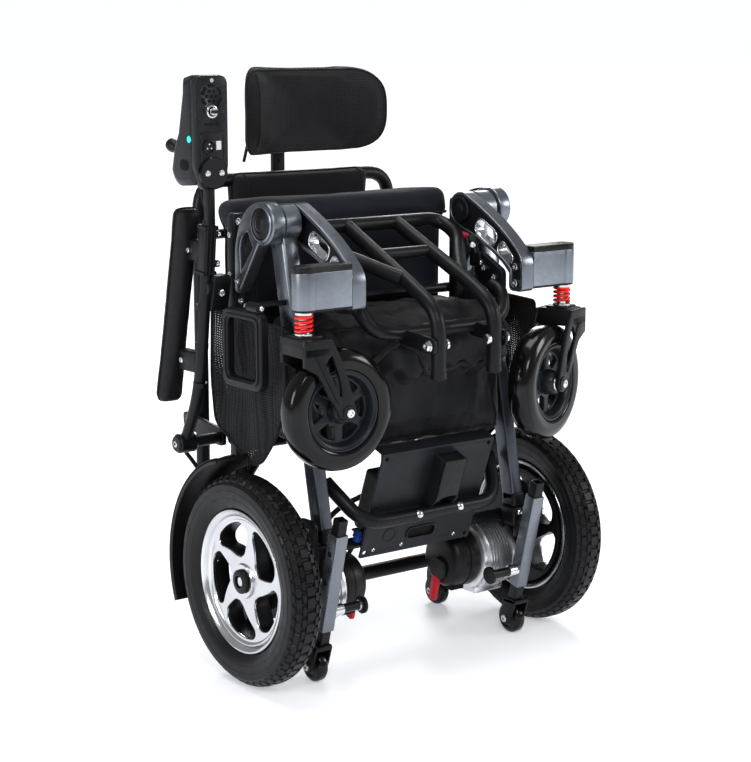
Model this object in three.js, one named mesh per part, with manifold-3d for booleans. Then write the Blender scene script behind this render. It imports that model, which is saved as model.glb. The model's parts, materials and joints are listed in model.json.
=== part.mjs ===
// Folding power wheelchair, folded and standing upright on its rear wheels.
// Millimetres, +Z up. The front of the chair faces -Y and the user's right hand is on -X.
// Every place is written as [x, y, z] with y = 0 at the rear axle and z = 0 on the floor.
// One-sided parts are drawn for the user's left (+X) and mirrored for the right.
import * as THREE from "three";
import { mergeVertices } from "three/addons/utils/BufferGeometryUtils.js";
import { RoundedBoxGeometry } from "three/addons/geometries/RoundedBoxGeometry.js";
import Module from "manifold-3d";

const wasm = await Module();
wasm.setup();

// ---------------------------------------------------------------- driving dimensions
const GAP = 0.4; // running clearance between neighbours
const ORIGIN_Y = 77.5; // the middle of the chair's length, measured from the rear axle

const REAR_RADIUS = 159; // 12.5 inch drive wheel
const REAR_TYRE_WIDTH = 54;
const REAR_TRACK = 276; // middle plane of each drive wheel
const REAR_RIM_RADIUS = 109;

const CASTER_RADIUS = 90;
const CASTER_WIDTH = 44;
const CASTER_TRAIL = 55;
const CASTER_AXLE_Z = 424;
const STEM_X = 247;
const STEM_Y = -103;
const STEM_RADIUS = 8;
const RIGHT_CASTER_TURN = 88; // degrees the wheels have swung from straight ahead
const LEFT_CASTER_TURN = -70;

const SMALL_RADIUS = 25; // transport and anti-tip wheels
const SMALL_WIDTH = 20;
const SMALL_X = 196;
const SMALL_AXLE_FRONT = [-53, SMALL_RADIUS]; // y, z of the anti-tip wheel's axle
const SMALL_AXLE_REAR = [140, SMALL_RADIUS];
const SMALL_AXLE_RADIUS = 4;

const KNUCKLE_Y = 30; // the fold axis, which carries arm, strut and seat casting
const KNUCKLE_Z = 683;
const KNUCKLE_RADIUS = 28;
const KNUCKLE_PIN_RADIUS = 9;

const ARM_INNER_X = 149;
const ARM_OUTER_X = 173;
const STRUT_INNER_X = 177;
const STRUT_OUTER_X = 197;
const CASTING_INNER_X = 206;
const CASTING_OUTER_X = 228;
const STRUT_FOOT = [-63, 224];
const HOUSING_BOTTOM = 572;
const HOUSING_TOP = 628;

const SEAT_RAIL_X = 216;
const SEAT_RAIL_Y = 118;
const SEAT_TOP_Z = 704;
const SEAT_BOTTOM_Z = 312;
const SEAT_HALF_WIDTH = 208;
const BACK_HINGE = [190, 235]; // y, z of the hinge between seat and backrest
const BACK_TUBE_X = 187;
const BACK_TUBE_Y = 268;
const HEADREST_POST_Y = 322;
const HEADREST_HINGE_Z = 822;
const STAY_FRONT = [-26, 443]; // y, z of the stay's pivot on the strut
const STAY_REAR = [200, 195];

const ARMREST_X = 280;
const ARMREST_PIVOT = [171, 338];
const PAD_TOP = [142, 706];
const PAD_BOTTOM = [208, 396];
const STICK_PIVOT = [152, 778];
const STICK_RISE = 20; // degrees that the stick points above level
const PLATE_TOP = [-107, 345]; // y, z of the controller plate's edges
const PLATE_BOTTOM = [-45, 172];
const MOTOR_AXIS = [0, 127];
const FRAME_TUBE_RADIUS = 11;
const CROSS_TUBE_Y = -101; // the front cross tube's lowest run
const CROSS_TUBE_Z = 523;
const FOOTREST_PIVOT = [-167, 512];
const FOOTREST_LEG_X = 53;
const TRAY_FRONT = [-112, 588];
const TRAY_BACK = [66, 667];
const REAR_CROSS = [92, 98];
const FRONT_CROSS = [-25, 192];
const SIDE_PLATE_X = 206;
const PLATE_HALF_WIDTH = 108;
const SLEEVE_TOP = [192, -109, 239];
const SLEEVE_BOTTOM = [192, -71, 85];
const SPOKES = 5;
const WHEEL_SIDES = 24;
const FORK_TOP = 537; // the crown, under the spring
const FORK_CHEEK_X = 26;
const FORK_CHEEK_THICKNESS = 7;
const WASHER = 4; // thickness of the spring seats
const SPRING_RADIUS = 11.5;
const WIRE_RADIUS = 2;
const CASTER_SIDES = 18; // facets round a caster
const STRUT_MIDDLE_X = (STRUT_INNER_X + STRUT_OUTER_X) / 2;
const STAY_PIN_RADIUS = 4;
const HANDLE_X = 269;
const HANDLE_HINGE_Z = 568;
const HANDLE_PIN_RADIUS = 3.5;
const SEAT_CUSHION_FRONT = 136; // y of the cushion's upholstered underside while folded
const SEAT_CUSHION_BACK = 182;
const BACK_PAD_HALF_WIDTH = 126;
const BACK_PAD_FRONT = 240;
const BACK_PAD_BACK = 286;
const HOOP_TOP_Z = 728; // middle of the backrest hoop's upper run
const STALK_FOOT_Z = 686; // where the joystick stalk meets its clamp
const KEY_Z = 846; // height of the key switch
const KEY_FRONT = 60;
const BOX_FRONT = 84; // y of the joystick unit's front face
const BOX_HALF_WIDTH = 28;

// ---------------------------------------------------------------- materials
const material = (color, roughness, metalness) => ({ color, roughness, metalness });
const CAST_GREY = material(0x767b82, 0.38, 0.75);
const POWDER_BLACK = material(0x17181a, 0.5, 0.3);
const POWDER_GREY = material(0x2c3138, 0.55, 0.3);
const TYRE_RUBBER = material(0x161616, 0.85, 0);
const CASTER_RUBBER = material(0x101112, 0.4, 0);
const POLISHED = material(0xd8dadd, 0.18, 1);
const MOTOR_SILVER = material(0xb4b7ba, 0.35, 0.9);
const BLACK_PLASTIC = material(0x141516, 0.5, 0);
const DARK_PLASTIC = material(0x34373b, 0.5, 0);
const SPRING_RED = material(0xc01818, 0.4, 0.3);
const LEVER_RED = material(0xb01226, 0.45, 0);
const SEAT_CLOTH = material(0x14161c, 0.95, 0);
const MESH_CLOTH = material(0x121314, 1, 0);
const PAD_VINYL = material(0x151617, 0.6, 0);
const BATTERY_CASE = material(0x202226, 0.6, 0);

// ---------------------------------------------------------------- solid helpers
function solidOf(geometry) {
  const bare = geometry.index ? geometry.toNonIndexed() : geometry.clone();
  for (const name of Object.keys(bare.attributes)) {
    if (name !== "position") bare.deleteAttribute(name);
  }
  const merged = mergeVertices(bare, 1e-3);
  return new wasm.Manifold(
    new wasm.Mesh({
      numProp: 3,
      vertProperties: merged.attributes.position.array,
      triVerts: new Uint32Array(merged.index.array),
    }),
  );
}

function geometryOf(solid) {
  const mesh = solid.getMesh();
  const geometry = new THREE.BufferGeometry();
  const places = new THREE.BufferAttribute(new Float32Array(mesh.vertProperties), 3);
  geometry.setAttribute("position", places);
  geometry.setIndex(new THREE.BufferAttribute(new Uint32Array(mesh.triVerts), 1));
  geometry.computeVertexNormals();
  return geometry;
}

function join(...pieces) {
  return geometryOf(pieces.map(solidOf).reduce((whole, piece) => whole.add(piece)));
}

function cut(body, ...tools) {
  return geometryOf(tools.map(solidOf).reduce((rest, tool) => rest.subtract(tool), solidOf(body)));
}

function common(first, second) {
  return geometryOf(solidOf(first).intersect(solidOf(second)));
}

function mirrored(geometry) {
  const flipped = solidOf(geometry).mirror([1, 0, 0]);
  return geometryOf(flipped);
}

// ---------------------------------------------------------------- shape helpers
const radians = THREE.MathUtils.degToRad;
const vector = (place) => new THREE.Vector3(...place);

// A closed outline through corner points, each corner rounded off by `round`.
function outline(corners, round = 0) {
  const shape = new THREE.Shape();
  corners.forEach((corner, i) => {
    const here = new THREE.Vector2(...corner);
    const before = new THREE.Vector2(...corners.at(i - 1));
    const after = new THREE.Vector2(...corners[(i + 1) % corners.length]);
    const size = corner[2] ?? round;
    const reach = (other) => Math.min(size, here.distanceTo(other) * 0.48) / here.distanceTo(other);
    const enter = here.clone().lerp(before, reach(before));
    const leave = here.clone().lerp(after, reach(after));
    if (i === 0) shape.moveTo(enter.x, enter.y);
    else shape.lineTo(enter.x, enter.y);
    if (size > 0) shape.quadraticCurveTo(here.x, here.y, leave.x, leave.y);
  });
  shape.closePath();
  return shape;
}

// A rounded rectangle given by its middle and half sizes.
function rectangle(middleAcross, middleUp, halfAcross, halfUp, round) {
  const corners = [[-1, -1], [1, -1], [1, 1], [-1, 1]];
  return outline(
    corners.map(([across, up]) => [middleAcross + across * halfAcross, middleUp + up * halfUp]),
    round,
  );
}

// Samples a closed outline anticlockwise, without the points that repeat where an arc meets its start.
function sampled(path, curveSegments) {
  const points = path.getPoints(curveSegments);
  const clean = points.filter((point, i) => point.distanceTo(points.at(i - 1)) > 0.01);
  return THREE.ShapeUtils.isClockWise(clean) ? clean.reverse() : clean;
}

function extrude(shape, depth, curveSegments) {
  const clean = new THREE.Shape(sampled(shape, curveSegments));
  clean.holes = shape.holes.map((hole) => new THREE.Path(sampled(hole, curveSegments)));
  return new THREE.ExtrudeGeometry(clean, { depth, bevelEnabled: false });
}

// An outline drawn in (Y, Z), standing from x = low to x = high.
function alongX(shape, low, high, curveSegments = 2) {
  const turn = new THREE.Matrix4().set(0, 0, 1, low, 1, 0, 0, 0, 0, 1, 0, 0, 0, 0, 0, 1);
  return extrude(shape, high - low, curveSegments).applyMatrix4(turn);
}

// An outline drawn in (X, Z), standing from y = low to y = high.
function alongY(shape, low, high, curveSegments = 2) {
  return extrude(shape, high - low, curveSegments).rotateX(Math.PI / 2).translate(0, high, 0);
}

// An outline drawn in (X, Y), standing from z = low to z = high.
function alongZ(shape, low, high, curveSegments = 2) {
  return extrude(shape, high - low, curveSegments).translate(0, 0, low);
}

function block(low, high) {
  const size = vector(high).sub(vector(low));
  const middle = vector(low).add(vector(high)).divideScalar(2);
  return new THREE.BoxGeometry(size.x, size.y, size.z).translate(middle.x, middle.y, middle.z);
}

function softBlock(low, high, radius, segments = 1) {
  const size = vector(high).sub(vector(low));
  const middle = vector(low).add(vector(high)).divideScalar(2);
  const box = new RoundedBoxGeometry(size.x, size.y, size.z, segments, radius);
  return box.translate(middle.x, middle.y, middle.z);
}

// Lays a geometry that was drawn along +Y from one point to another.
function layAlong(geometry, from, to) {
  const run = vector(to).sub(vector(from)).normalize();
  geometry.applyQuaternion(new THREE.Quaternion().setFromUnitVectors(new THREE.Vector3(0, 1, 0), run));
  const middle = vector(from).add(vector(to)).divideScalar(2);
  return geometry.translate(middle.x, middle.y, middle.z);
}

function rod(from, to, radius, sides = 8) {
  const length = vector(from).distanceTo(vector(to));
  return layAlong(new THREE.CylinderGeometry(radius, radius, length, sides), from, to);
}

// A rectangular bar whose width lies along X.
function bar(from, to, width, depth) {
  const length = vector(from).distanceTo(vector(to));
  return layAlong(new THREE.BoxGeometry(width, length, depth), from, to);
}

// A centre line of straight runs joined by round bends.
class BentLine extends THREE.Curve {
  constructor(corners, bend, bendSteps) {
    super();
    const points = corners.map(vector);
    this.stations = [points[0]];
    for (let i = 1; i < points.length - 1; i += 1) {
      const towards = (other) => {
        const run = points[i].distanceTo(other);
        return points[i].clone().lerp(other, Math.min(bend, run * 0.48) / run);
      };
      const start = towards(points[i - 1]);
      const end = towards(points[i + 1]);
      const arc = new THREE.QuadraticBezierCurve3(start, points[i], end);
      this.stations.push(...arc.getPoints(bendSteps));
    }
    this.stations.push(points.at(-1));
  }

  getPoint(t) {
    const last = this.stations.length - 1;
    const index = Math.min(Math.floor(t * last + 1e-9), last - 1);
    return this.stations[index].clone().lerp(this.stations[index + 1], t * last - index);
  }

  getPointAt(t) {
    return this.getPoint(t);
  }

  getTangentAt(t) {
    const step = 1 / (this.stations.length - 1);
    const before = this.getPoint(Math.max(0, t - step));
    return this.getPoint(Math.min(1, t + step)).sub(before).normalize();
  }
}

// curveSegments is half the number of sides around the tube.
function pipe(corners, radius, bend = 40, bendSteps = 2, curveSegments = 4) {
  const section = new THREE.Shape();
  section.absarc(0, 0, radius, 0, 2 * Math.PI);
  const extrudePath = new BentLine(corners, bend, bendSteps);
  const steps = extrudePath.stations.length - 1;
  return new THREE.ExtrudeGeometry(section, { extrudePath, steps, curveSegments });
}

// A turned shape about the X axis. The profile holds [radius, x] points and closes on itself.
// Its sides touch the true circle from outside and one of them faces straight down.
function turned(profile, segments) {
  const grown = 1 / Math.cos(Math.PI / segments);
  const points = profile.map(([radius, along]) => new THREE.Vector2(radius * grown, along));
  const ring = new THREE.LatheGeometry([...points, points[0].clone()], segments);
  return ring.rotateZ(-Math.PI / 2).rotateX(Math.PI / segments);
}

// ---------------------------------------------------------------- assembly helpers
const chair = new THREE.Group();
chair.position.y = -ORIGIN_Y;

function add(name, look, geometry, parent = chair) {
  const mesh = new THREE.Mesh(geometry, new THREE.MeshStandardMaterial(look));
  mesh.name = name;
  parent.add(mesh);
  return mesh;
}

function addPair(name, look, geometry) {
  add("left_" + name, look, geometry);
  add("right_" + name, look, mirrored(geometry));
}

// ---------------------------------------------------------------- front frame
const onKnuckle = (x) => [x, KNUCKLE_Y, KNUCKLE_Z];

// The arm's side view: a round hub on the fold axis that narrows into a bent beam.
function armOutline(inset) {
  const hub = KNUCKLE_RADIUS - inset;
  const front = -120 + inset;
  const shape = new THREE.Shape();
  shape.absarc(KNUCKLE_Y, KNUCKLE_Z, hub, radians(-65), radians(115), false);
  shape.quadraticCurveTo(-58, 676 - inset, -104, 634 - inset);
  shape.quadraticCurveTo(front, 622, front, 604);
  shape.lineTo(front, 567 + inset);
  shape.lineTo(-88 - inset, 567 + inset);
  shape.lineTo(-88 - inset, 594 + inset);
  shape.quadraticCurveTo(-58, 626 + inset, 24, 650 + inset);
  shape.closePath();
  return shape;
}

function frontArm() {
  const pocket = armOutline(8);
  const pocketDepth = 8;
  const body = alongX(armOutline(0), ARM_INNER_X, ARM_OUTER_X, 3);
  const window = (y, z, length, height, tilt) => {
    const slot = rectangle(0, 0, length, height, height);
    return alongX(slot, ARM_INNER_X - 1, ARM_OUTER_X + 1).rotateX(radians(tilt)).translate(0, y, z);
  };
  const holeRadius = KNUCKLE_PIN_RADIUS + GAP;
  const pivotHole = rod(onKnuckle(ARM_INNER_X - 1), onKnuckle(ARM_OUTER_X + 1), holeRadius, 12);
  return cut(
    body,
    alongX(pocket, ARM_OUTER_X - pocketDepth, ARM_OUTER_X + 1, 3),
    window(-26, 655, 20, 9, 24),
    window(-74, 627, 15, 8, 38),
    pivotHole,
  );
}

// The caster housing: a round barrel for the stem with a square shoulder that bolts to the arm.
function casterHousing() {
  const barrelRadius = 18;
  const shoulder = new THREE.Shape();
  shoulder.absarc(STEM_X, STEM_Y, barrelRadius, radians(-90), radians(90), false);
  shoulder.lineTo(STEM_X - 6, STEM_Y + barrelRadius);
  shoulder.lineTo(STEM_X - 12, STEM_Y + barrelRadius - 3);
  shoulder.lineTo(STEM_X - 18, STEM_Y + barrelRadius);
  shoulder.lineTo(ARM_OUTER_X + GAP, STEM_Y + barrelRadius);
  shoulder.lineTo(ARM_OUTER_X + GAP, STEM_Y - barrelRadius + 1);
  shoulder.lineTo(STEM_X - 18, STEM_Y - barrelRadius + 1);
  shoulder.lineTo(STEM_X - 12, STEM_Y - barrelRadius + 4);
  shoulder.lineTo(STEM_X - 6, STEM_Y - barrelRadius);
  shoulder.closePath();
  const body = alongZ(shoulder, HOUSING_BOTTOM, HOUSING_TOP + 8, 8);
  const onStem = (z) => [STEM_X, STEM_Y, z];
  const bore = rod(onStem(HOUSING_BOTTOM - 10), onStem(HOUSING_TOP - 4), STEM_RADIUS + GAP, 16);
  const seat = rod(onStem(HOUSING_BOTTOM - 4), onStem(HOUSING_BOTTOM + 1), 14, 12);
  return cut(join(body, seat), bore);
}

// The bent cross tube joins the arms' inner side plates and carries the footrest's pivot ears.
function frontCrossTube() {
  const side = (sign) => [
    [sign * 139, -60, 575],
    [sign * 139, -84, 566],
    [sign * 126, CROSS_TUBE_Y, 532],
    [sign * 84, CROSS_TUBE_Y, CROSS_TUBE_Z],
  ];
  const tube = pipe([...side(-1), ...side(1).reverse()], FRAME_TUBE_RADIUS, 30);
  const platePoints = [[-84, 556], [-40, 552], [-18, 600], [-34, 622], [-84, 598]];
  const sidePlate = alongX(outline(platePoints, 8), 139, ARM_INNER_X - GAP);
  const [pivotY, pivotZ] = FOOTREST_PIVOT;
  const earPoints = [
    [pivotY - 12, pivotZ - 12],
    [-92, CROSS_TUBE_Z - 16],
    [-92, CROSS_TUBE_Z + 6],
    [pivotY - 12, pivotZ + 12],
  ];
  const earInner = FOOTREST_LEG_X + 12.5;
  const ear = cut(
    alongX(outline(earPoints, 10), earInner, earInner + 5),
    rod([earInner - 1, pivotY, pivotZ], [earInner + 6, pivotY, pivotZ], 4.5, 12),
  );
  return join(tube, sidePlate, mirrored(sidePlate), ear, mirrored(ear));
}

// ---------------------------------------------------------------- footrest
// Two legs run up from the pivot bolts, then lean back into a tubular tray.
function trayPlace(x, y) {
  const slope = (TRAY_BACK[1] - TRAY_FRONT[1]) / (TRAY_BACK[0] - TRAY_FRONT[0]);
  return [x, y, TRAY_FRONT[1] + slope * (y - TRAY_FRONT[0])];
}

function footrestFrame() {
  const [pivotY, pivotZ] = FOOTREST_PIVOT;
  const onPivot = (x) => [x, pivotY, pivotZ];
  const pinInner = FOOTREST_LEG_X - 14;
  const pinOuter = FOOTREST_LEG_X + 18;
  const pinHead = 5;
  const leg = (sign) =>
    join(
      pipe(
        [
          [sign * FOOTREST_LEG_X, pivotY, 466],
          [sign * FOOTREST_LEG_X, pivotY, 545],
          [sign * FOOTREST_LEG_X, -150, 568],
          trayPlace(sign * FOOTREST_LEG_X, -110),
          trayPlace(sign * 48, 66),
        ],
        FRAME_TUBE_RADIUS,
        24,
      ),
      rod(onPivot(sign * pinInner), onPivot(sign * pinOuter), 4, 12),
      rod(onPivot(sign * pinOuter), onPivot(sign * (pinOuter + pinHead)), 8, 6),
    );
  const loop = pipe(
    [
      trayPlace(-56, -84),
      trayPlace(-96, -30),
      trayPlace(-134, 16),
      trayPlace(-134, 66),
      trayPlace(134, 66),
      trayPlace(134, 16),
      trayPlace(96, -30),
      trayPlace(56, -84),
    ],
    FRAME_TUBE_RADIUS,
    26,
  );
  const crossbar = rod(trayPlace(-48, -18), trayPlace(48, -18), 9, 12);
  return join(leg(1), leg(-1), loop, crossbar);
}

// ---------------------------------------------------------------- casters

// The fork hangs below its stem; the axle trails towards local -Y.
function casterFork() {
  const cheekShape = new THREE.Shape();
  cheekShape.moveTo(20, FORK_TOP);
  cheekShape.lineTo(20, 494);
  cheekShape.lineTo(-4, 484);
  cheekShape.lineTo(-CASTER_TRAIL + 12, CASTER_AXLE_Z - 6);
  cheekShape.absarc(-CASTER_TRAIL, CASTER_AXLE_Z, 13, radians(-28), radians(-208), true);
  cheekShape.quadraticCurveTo(-44, 500, -24, FORK_TOP);
  cheekShape.closePath();
  const slot = outline([[-14, 494], [-27, 508], [-40, 462], [-43, 444]], 6);
  cheekShape.holes.push(slot);
  const outer = FORK_CHEEK_X + FORK_CHEEK_THICKNESS;
  const cheek = alongX(cheekShape, FORK_CHEEK_X, outer, 3);
  const crown = block([-outer, -24, 511], [outer, 20, FORK_TOP]);
  const stem = rod([0, 0, FORK_TOP - 2], [0, 0, 608], STEM_RADIUS, 12);
  const washer = rod([0, 0, FORK_TOP - 1], [0, 0, FORK_TOP + WASHER], 14, 12);
  const axlePlace = (x) => [x, -CASTER_TRAIL, CASTER_AXLE_Z];
  const axle = rod(axlePlace(-outer - 1), axlePlace(outer + 1), 5);
  const bolt = rod(axlePlace(outer), axlePlace(outer + 6), 9, 6);
  return join(crown, cheek, mirrored(cheek), stem, washer, axle, bolt, mirrored(bolt));
}

class Helix extends THREE.Curve {
  constructor(radius, low, high, turns) {
    super();
    Object.assign(this, { radius, low, high, turns });
  }

  getPoint(t) {
    const angle = 2 * Math.PI * this.turns * t;
    const height = this.low + (this.high - this.low) * t;
    return new THREE.Vector3(this.radius * Math.cos(angle), this.radius * Math.sin(angle), height);
  }
}

function casterSpring() {
  const turns = 4;
  const low = FORK_TOP + WASHER + WIRE_RADIUS + GAP;
  const high = HOUSING_BOTTOM - WASHER - WIRE_RADIUS - GAP;
  const wire = new THREE.Shape();
  wire.absarc(0, 0, WIRE_RADIUS, 0, 2 * Math.PI);
  const extrudePath = new Helix(SPRING_RADIUS, low, high, turns);
  return new THREE.ExtrudeGeometry(wire, { extrudePath, steps: turns * 8, curveSegments: 2 });
}

function casterTyre() {
  const half = CASTER_WIDTH / 2;
  const rimRadius = 60 + GAP;
  return turned(
    [
      [rimRadius, -half + 4],
      [74, -half],
      [CASTER_RADIUS - 4, -half + 7],
      [CASTER_RADIUS, 0],
      [CASTER_RADIUS - 4, half - 7],
      [74, half],
      [rimRadius, half - 4],
    ],
    CASTER_SIDES,
  );
}

function casterRim() {
  const rimHalf = CASTER_WIDTH / 2 - 5;
  const hubHalf = CASTER_WIDTH / 2 + 2;
  return turned(
    [
      [5 + GAP, -hubHalf],
      [17, -hubHalf],
      [19, -6],
      [48, -6],
      [54, -rimHalf],
      [60, -rimHalf],
      [60, rimHalf],
      [54, rimHalf],
      [48, 6],
      [19, 6],
      [17, hubHalf],
      [5 + GAP, hubHalf],
    ],
    CASTER_SIDES,
  );
}

function addCaster(side, sign, turn) {
  const swivel = new THREE.Group();
  swivel.position.set(sign * STEM_X, STEM_Y, 0);
  swivel.rotation.z = radians(turn);
  chair.add(swivel);
  add(side + "_caster_fork", POWDER_BLACK, casterFork(), swivel);
  add(side + "_caster_spring", SPRING_RED, casterSpring(), swivel);
  const wheel = new THREE.Group();
  wheel.position.set(0, -CASTER_TRAIL, CASTER_AXLE_Z);
  swivel.add(wheel);
  add(side + "_caster_tyre", CASTER_RUBBER, casterTyre(), wheel);
  add(side + "_caster_rim", POWDER_GREY, casterRim(), wheel);
}

// ---------------------------------------------------------------- rear frame

function strut() {
  const [footY, footZ] = STRUT_FOOT;
  const beamDepth = 28;
  const nutInner = ARM_INNER_X - 3.2; // leaves room for the footrest's tray to fold past
  return join(
    rod(onKnuckle(ARM_OUTER_X + 2), onKnuckle(CASTING_INNER_X - 2), KNUCKLE_RADIUS, 20),
    bar(onKnuckle(STRUT_MIDDLE_X), [STRUT_MIDDLE_X, footY, footZ], STRUT_OUTER_X - STRUT_INNER_X, beamDepth),
    rod(onKnuckle(nutInner), onKnuckle(CASTING_OUTER_X + 7), KNUCKLE_PIN_RADIUS, 12),
    rod(onKnuckle(nutInner), onKnuckle(ARM_INNER_X - GAP), 14, 6),
    rod([STRUT_OUTER_X - 2, ...STAY_FRONT], [CASTING_INNER_X - 1, ...STAY_FRONT], STAY_PIN_RADIUS),
  );
}

// On the user's right the strut also carries the arm that the side handle hangs from.

function strutWithHandleArm() {
  const behind = 3;
  const reach = 4; // half the arm's height, so that the loop can swing past it
  const arm = block(
    [STRUT_MIDDLE_X, behind, HANDLE_HINGE_Z - reach],
    [HANDLE_X + reach, behind + 7, HANDLE_HINGE_Z + reach],
  );
  const pinStart = [HANDLE_X, behind + 1, HANDLE_HINGE_Z];
  const pin = rod(pinStart, [HANDLE_X, -27, HANDLE_HINGE_Z], HANDLE_PIN_RADIUS);
  return join(strut(), arm, pin);
}

// The base joins the motors: two side plates, two cross tubes and the rear transport forks.
function baseFrame() {
  const plateCorners = [
    [-78, 252],
    [-34, 252],
    [30, 206],
    [104, 124],
    [112, 84],
    [60, 72],
    [-44, 96],
    [-74, 180],
  ];
  const [shaftY, shaftZ] = [0, REAR_RADIUS];
  const sidePlate = cut(
    alongX(outline(plateCorners, 14), SIDE_PLATE_X, SIDE_PLATE_X + 6),
    rod([SIDE_PLATE_X - 1, shaftY, shaftZ], [SIDE_PLATE_X + 7, shaftY, shaftZ], 14, 12),
  );
  const [rearAxleY] = SMALL_AXLE_REAR;
  const forkCorners = [
    [80, 116],
    [108, 110],
    [150, 62],
    [rearAxleY + 9, 16],
    [rearAxleY - 9, 16],
    [118, 56],
    [76, 84],
  ];
  const half = SMALL_WIDTH / 2;
  const forkCheek = (x) => alongX(outline(forkCorners, 7), x, x + 3);
  const tubeEnd = SIDE_PLATE_X + 1;
  const tube = (place, radius) => rod([-tubeEnd, ...place], [tubeEnd, ...place], radius, 12);
  const cheekOuter = half + 5;
  const axleEnds = [SMALL_X - cheekOuter, SMALL_X + cheekOuter].map((x) => [x, ...SMALL_AXLE_REAR]);
  const smallAxle = rod(...axleEnds, SMALL_AXLE_RADIUS);
  const fork = join(forkCheek(SMALL_X - cheekOuter), forkCheek(SMALL_X + half + 2), smallAxle);
  const footBlock = block([STRUT_INNER_X, -76, 186], [SIDE_PLATE_X + 1, -44, 209]);
  const tab = block([60, -46, 186], [84, -25, 190]);
  const side = join(sidePlate, fork, footBlock, tab);
  return join(tube(REAR_CROSS, 12), tube(FRONT_CROSS, 9), side, mirrored(side));
}

const plateRun = new THREE.Vector2(PLATE_TOP[0] - PLATE_BOTTOM[0], PLATE_TOP[1] - PLATE_BOTTOM[1]);
const PLATE_TILT = Math.atan2(-plateRun.x, plateRun.y); // radians from upright

// Turns parts drawn flat on the plate (x across, z up it, y behind it) to the plate's own tilt.
function onPlate(geometry) {
  const middleY = (PLATE_TOP[0] + PLATE_BOTTOM[0]) / 2;
  const middleZ = (PLATE_TOP[1] + PLATE_BOTTOM[1]) / 2;
  return geometry.rotateX(PLATE_TILT).translate(0, middleY, middleZ);
}

// The controller plate: a folded sheet tray with corner holes, a channel and an oblong handle slot.
function controllerPlate() {
  const halfHeight = plateRun.length() / 2;
  const sheet = 3;
  const edge = PLATE_HALF_WIDTH - 9;
  const face = rectangle(0, 0, PLATE_HALF_WIDTH, halfHeight, 4);
  for (const x of [-edge, edge]) {
    for (const z of [9 - halfHeight, halfHeight - 9]) {
      face.holes.push(rectangle(x, z, 3, 3, 3));
    }
  }
  face.holes.push(rectangle(4, -64, 26, 8, 8));
  const front = alongY(face, 0, sheet);
  const topFlange = block([-PLATE_HALF_WIDTH, 0, halfHeight - sheet], [PLATE_HALF_WIDTH, 26, halfHeight]);
  const bottomFlange = block([-96, sheet - 0.5, -halfHeight + 22], [96, 46, -halfHeight + 25]);
  const channel = cut(
    block([-6, -26, 10], [38, 1, halfHeight - 14]),
    block([-3, -30, 0], [35, -3, halfHeight - 17]),
  );
  const gusset = alongX(outline([[1, 4], [-26, 40], [1, 44]], 0), -9, -6);
  return onPlate(join(front, topFlange, bottomFlange, channel, gusset));
}

function batteryPack() {
  return onPlate(softBlock([-94, 4, -62], [94, 48, 40], 5, 1));
}

function bumperTube() {
  const side = (sign) => [[sign * 124, -34, 284], [sign * 124, -86, 237]];
  const screw = (x) => rod([x, -101, 234], [x, -90, 238], 5, 8);
  return join(pipe([...side(-1), ...side(1).reverse()], FRAME_TUBE_RADIUS, 34), screw(-30), screw(50));
}

// A gear motor: black brake cover inboard, finned silver case, output shaft to the wheel.
function motor() {
  const [axisY, axisZ] = MOTOR_AXIS;
  const capEnd = 87;
  const coverEnd = 135;
  const caseEnd = SIDE_PLATE_X - GAP;
  const barrel = (from, to, radius) => rod([from, axisY, axisZ], [to, axisY, axisZ], radius, 16);
  const finPitch = 18;
  const fins = [0, 1, 2].map((i) => barrel(coverEnd + 8 + i * finPitch, coverEnd + 18 + i * finPitch, 58));
  const shaft = rod([caseEnd - 2, 0, REAR_RADIUS], [REAR_TRACK + 16, 0, REAR_RADIUS], 9, 12);
  return join(barrel(capEnd, coverEnd + 1, 46), barrel(coverEnd, caseEnd, 55), ...fins, shaft);
}

// The red clutch lever that frees the motor so that the chair can be pushed.
function clutchLever() {
  const [axisY, axisZ] = MOTOR_AXIS;
  const corners = [
    [axisY - 12, axisZ + 4],
    [axisY + 8, axisZ + 10],
    [axisY + 22, axisZ - 58],
    [axisY + 8, axisZ - 64],
  ];
  return alongX(outline(corners, 6), 79, 86.4);
}

function fender() {
  const inner = 182;
  const outer = 186;
  const [low, high] = [radians(-22), radians(75)];
  const arc = (from, to) => {
    const shape = new THREE.Shape();
    shape.absarc(0, REAR_RADIUS, to, low, high, false);
    shape.absarc(0, REAR_RADIUS, from, high, low, true);
    shape.closePath();
    return shape;
  };
  const tread = alongX(arc(inner, outer), 245, 303, 5);
  const wall = alongX(arc(168, outer), 245, 247.6, 5);
  const stay = block([SIDE_PLATE_X + 6 + GAP, 84, 92], [216, 104, 118]);
  const arm = block([215, 88, 98], [246, 100, 112]);
  const reach = block([242.5, 88, 98], [248.5, 172, 112]);
  return join(tread, wall, stay, arm, reach);
}

function alongSleeve(distance) {
  const run = vector(SLEEVE_BOTTOM).sub(vector(SLEEVE_TOP)).normalize();
  return vector(SLEEVE_TOP).addScaledVector(run, distance).toArray();
}

// The anti-tip sleeve: a square tube with an inboard tipping peg.
function antiTipSleeve() {
  const length = vector(SLEEVE_TOP).distanceTo(vector(SLEEVE_BOTTOM));
  const hollow = bar(alongSleeve(-2), alongSleeve(length + 2), 18, 18);
  const sleeve = cut(bar(SLEEVE_TOP, SLEEVE_BOTTOM, 22, 22), hollow);
  const [pegY, pegZ] = alongSleeve(length - 28).slice(1);
  const onPeg = (x) => [x, pegY, pegZ];
  const peg = rod(onPeg(182), onPeg(128), 7);
  const collar = rod(onPeg(182), onPeg(164), 9.5);
  const flange = rod(onPeg(130), onPeg(124), 14, 14);
  return join(sleeve, peg, collar, flange);
}

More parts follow.
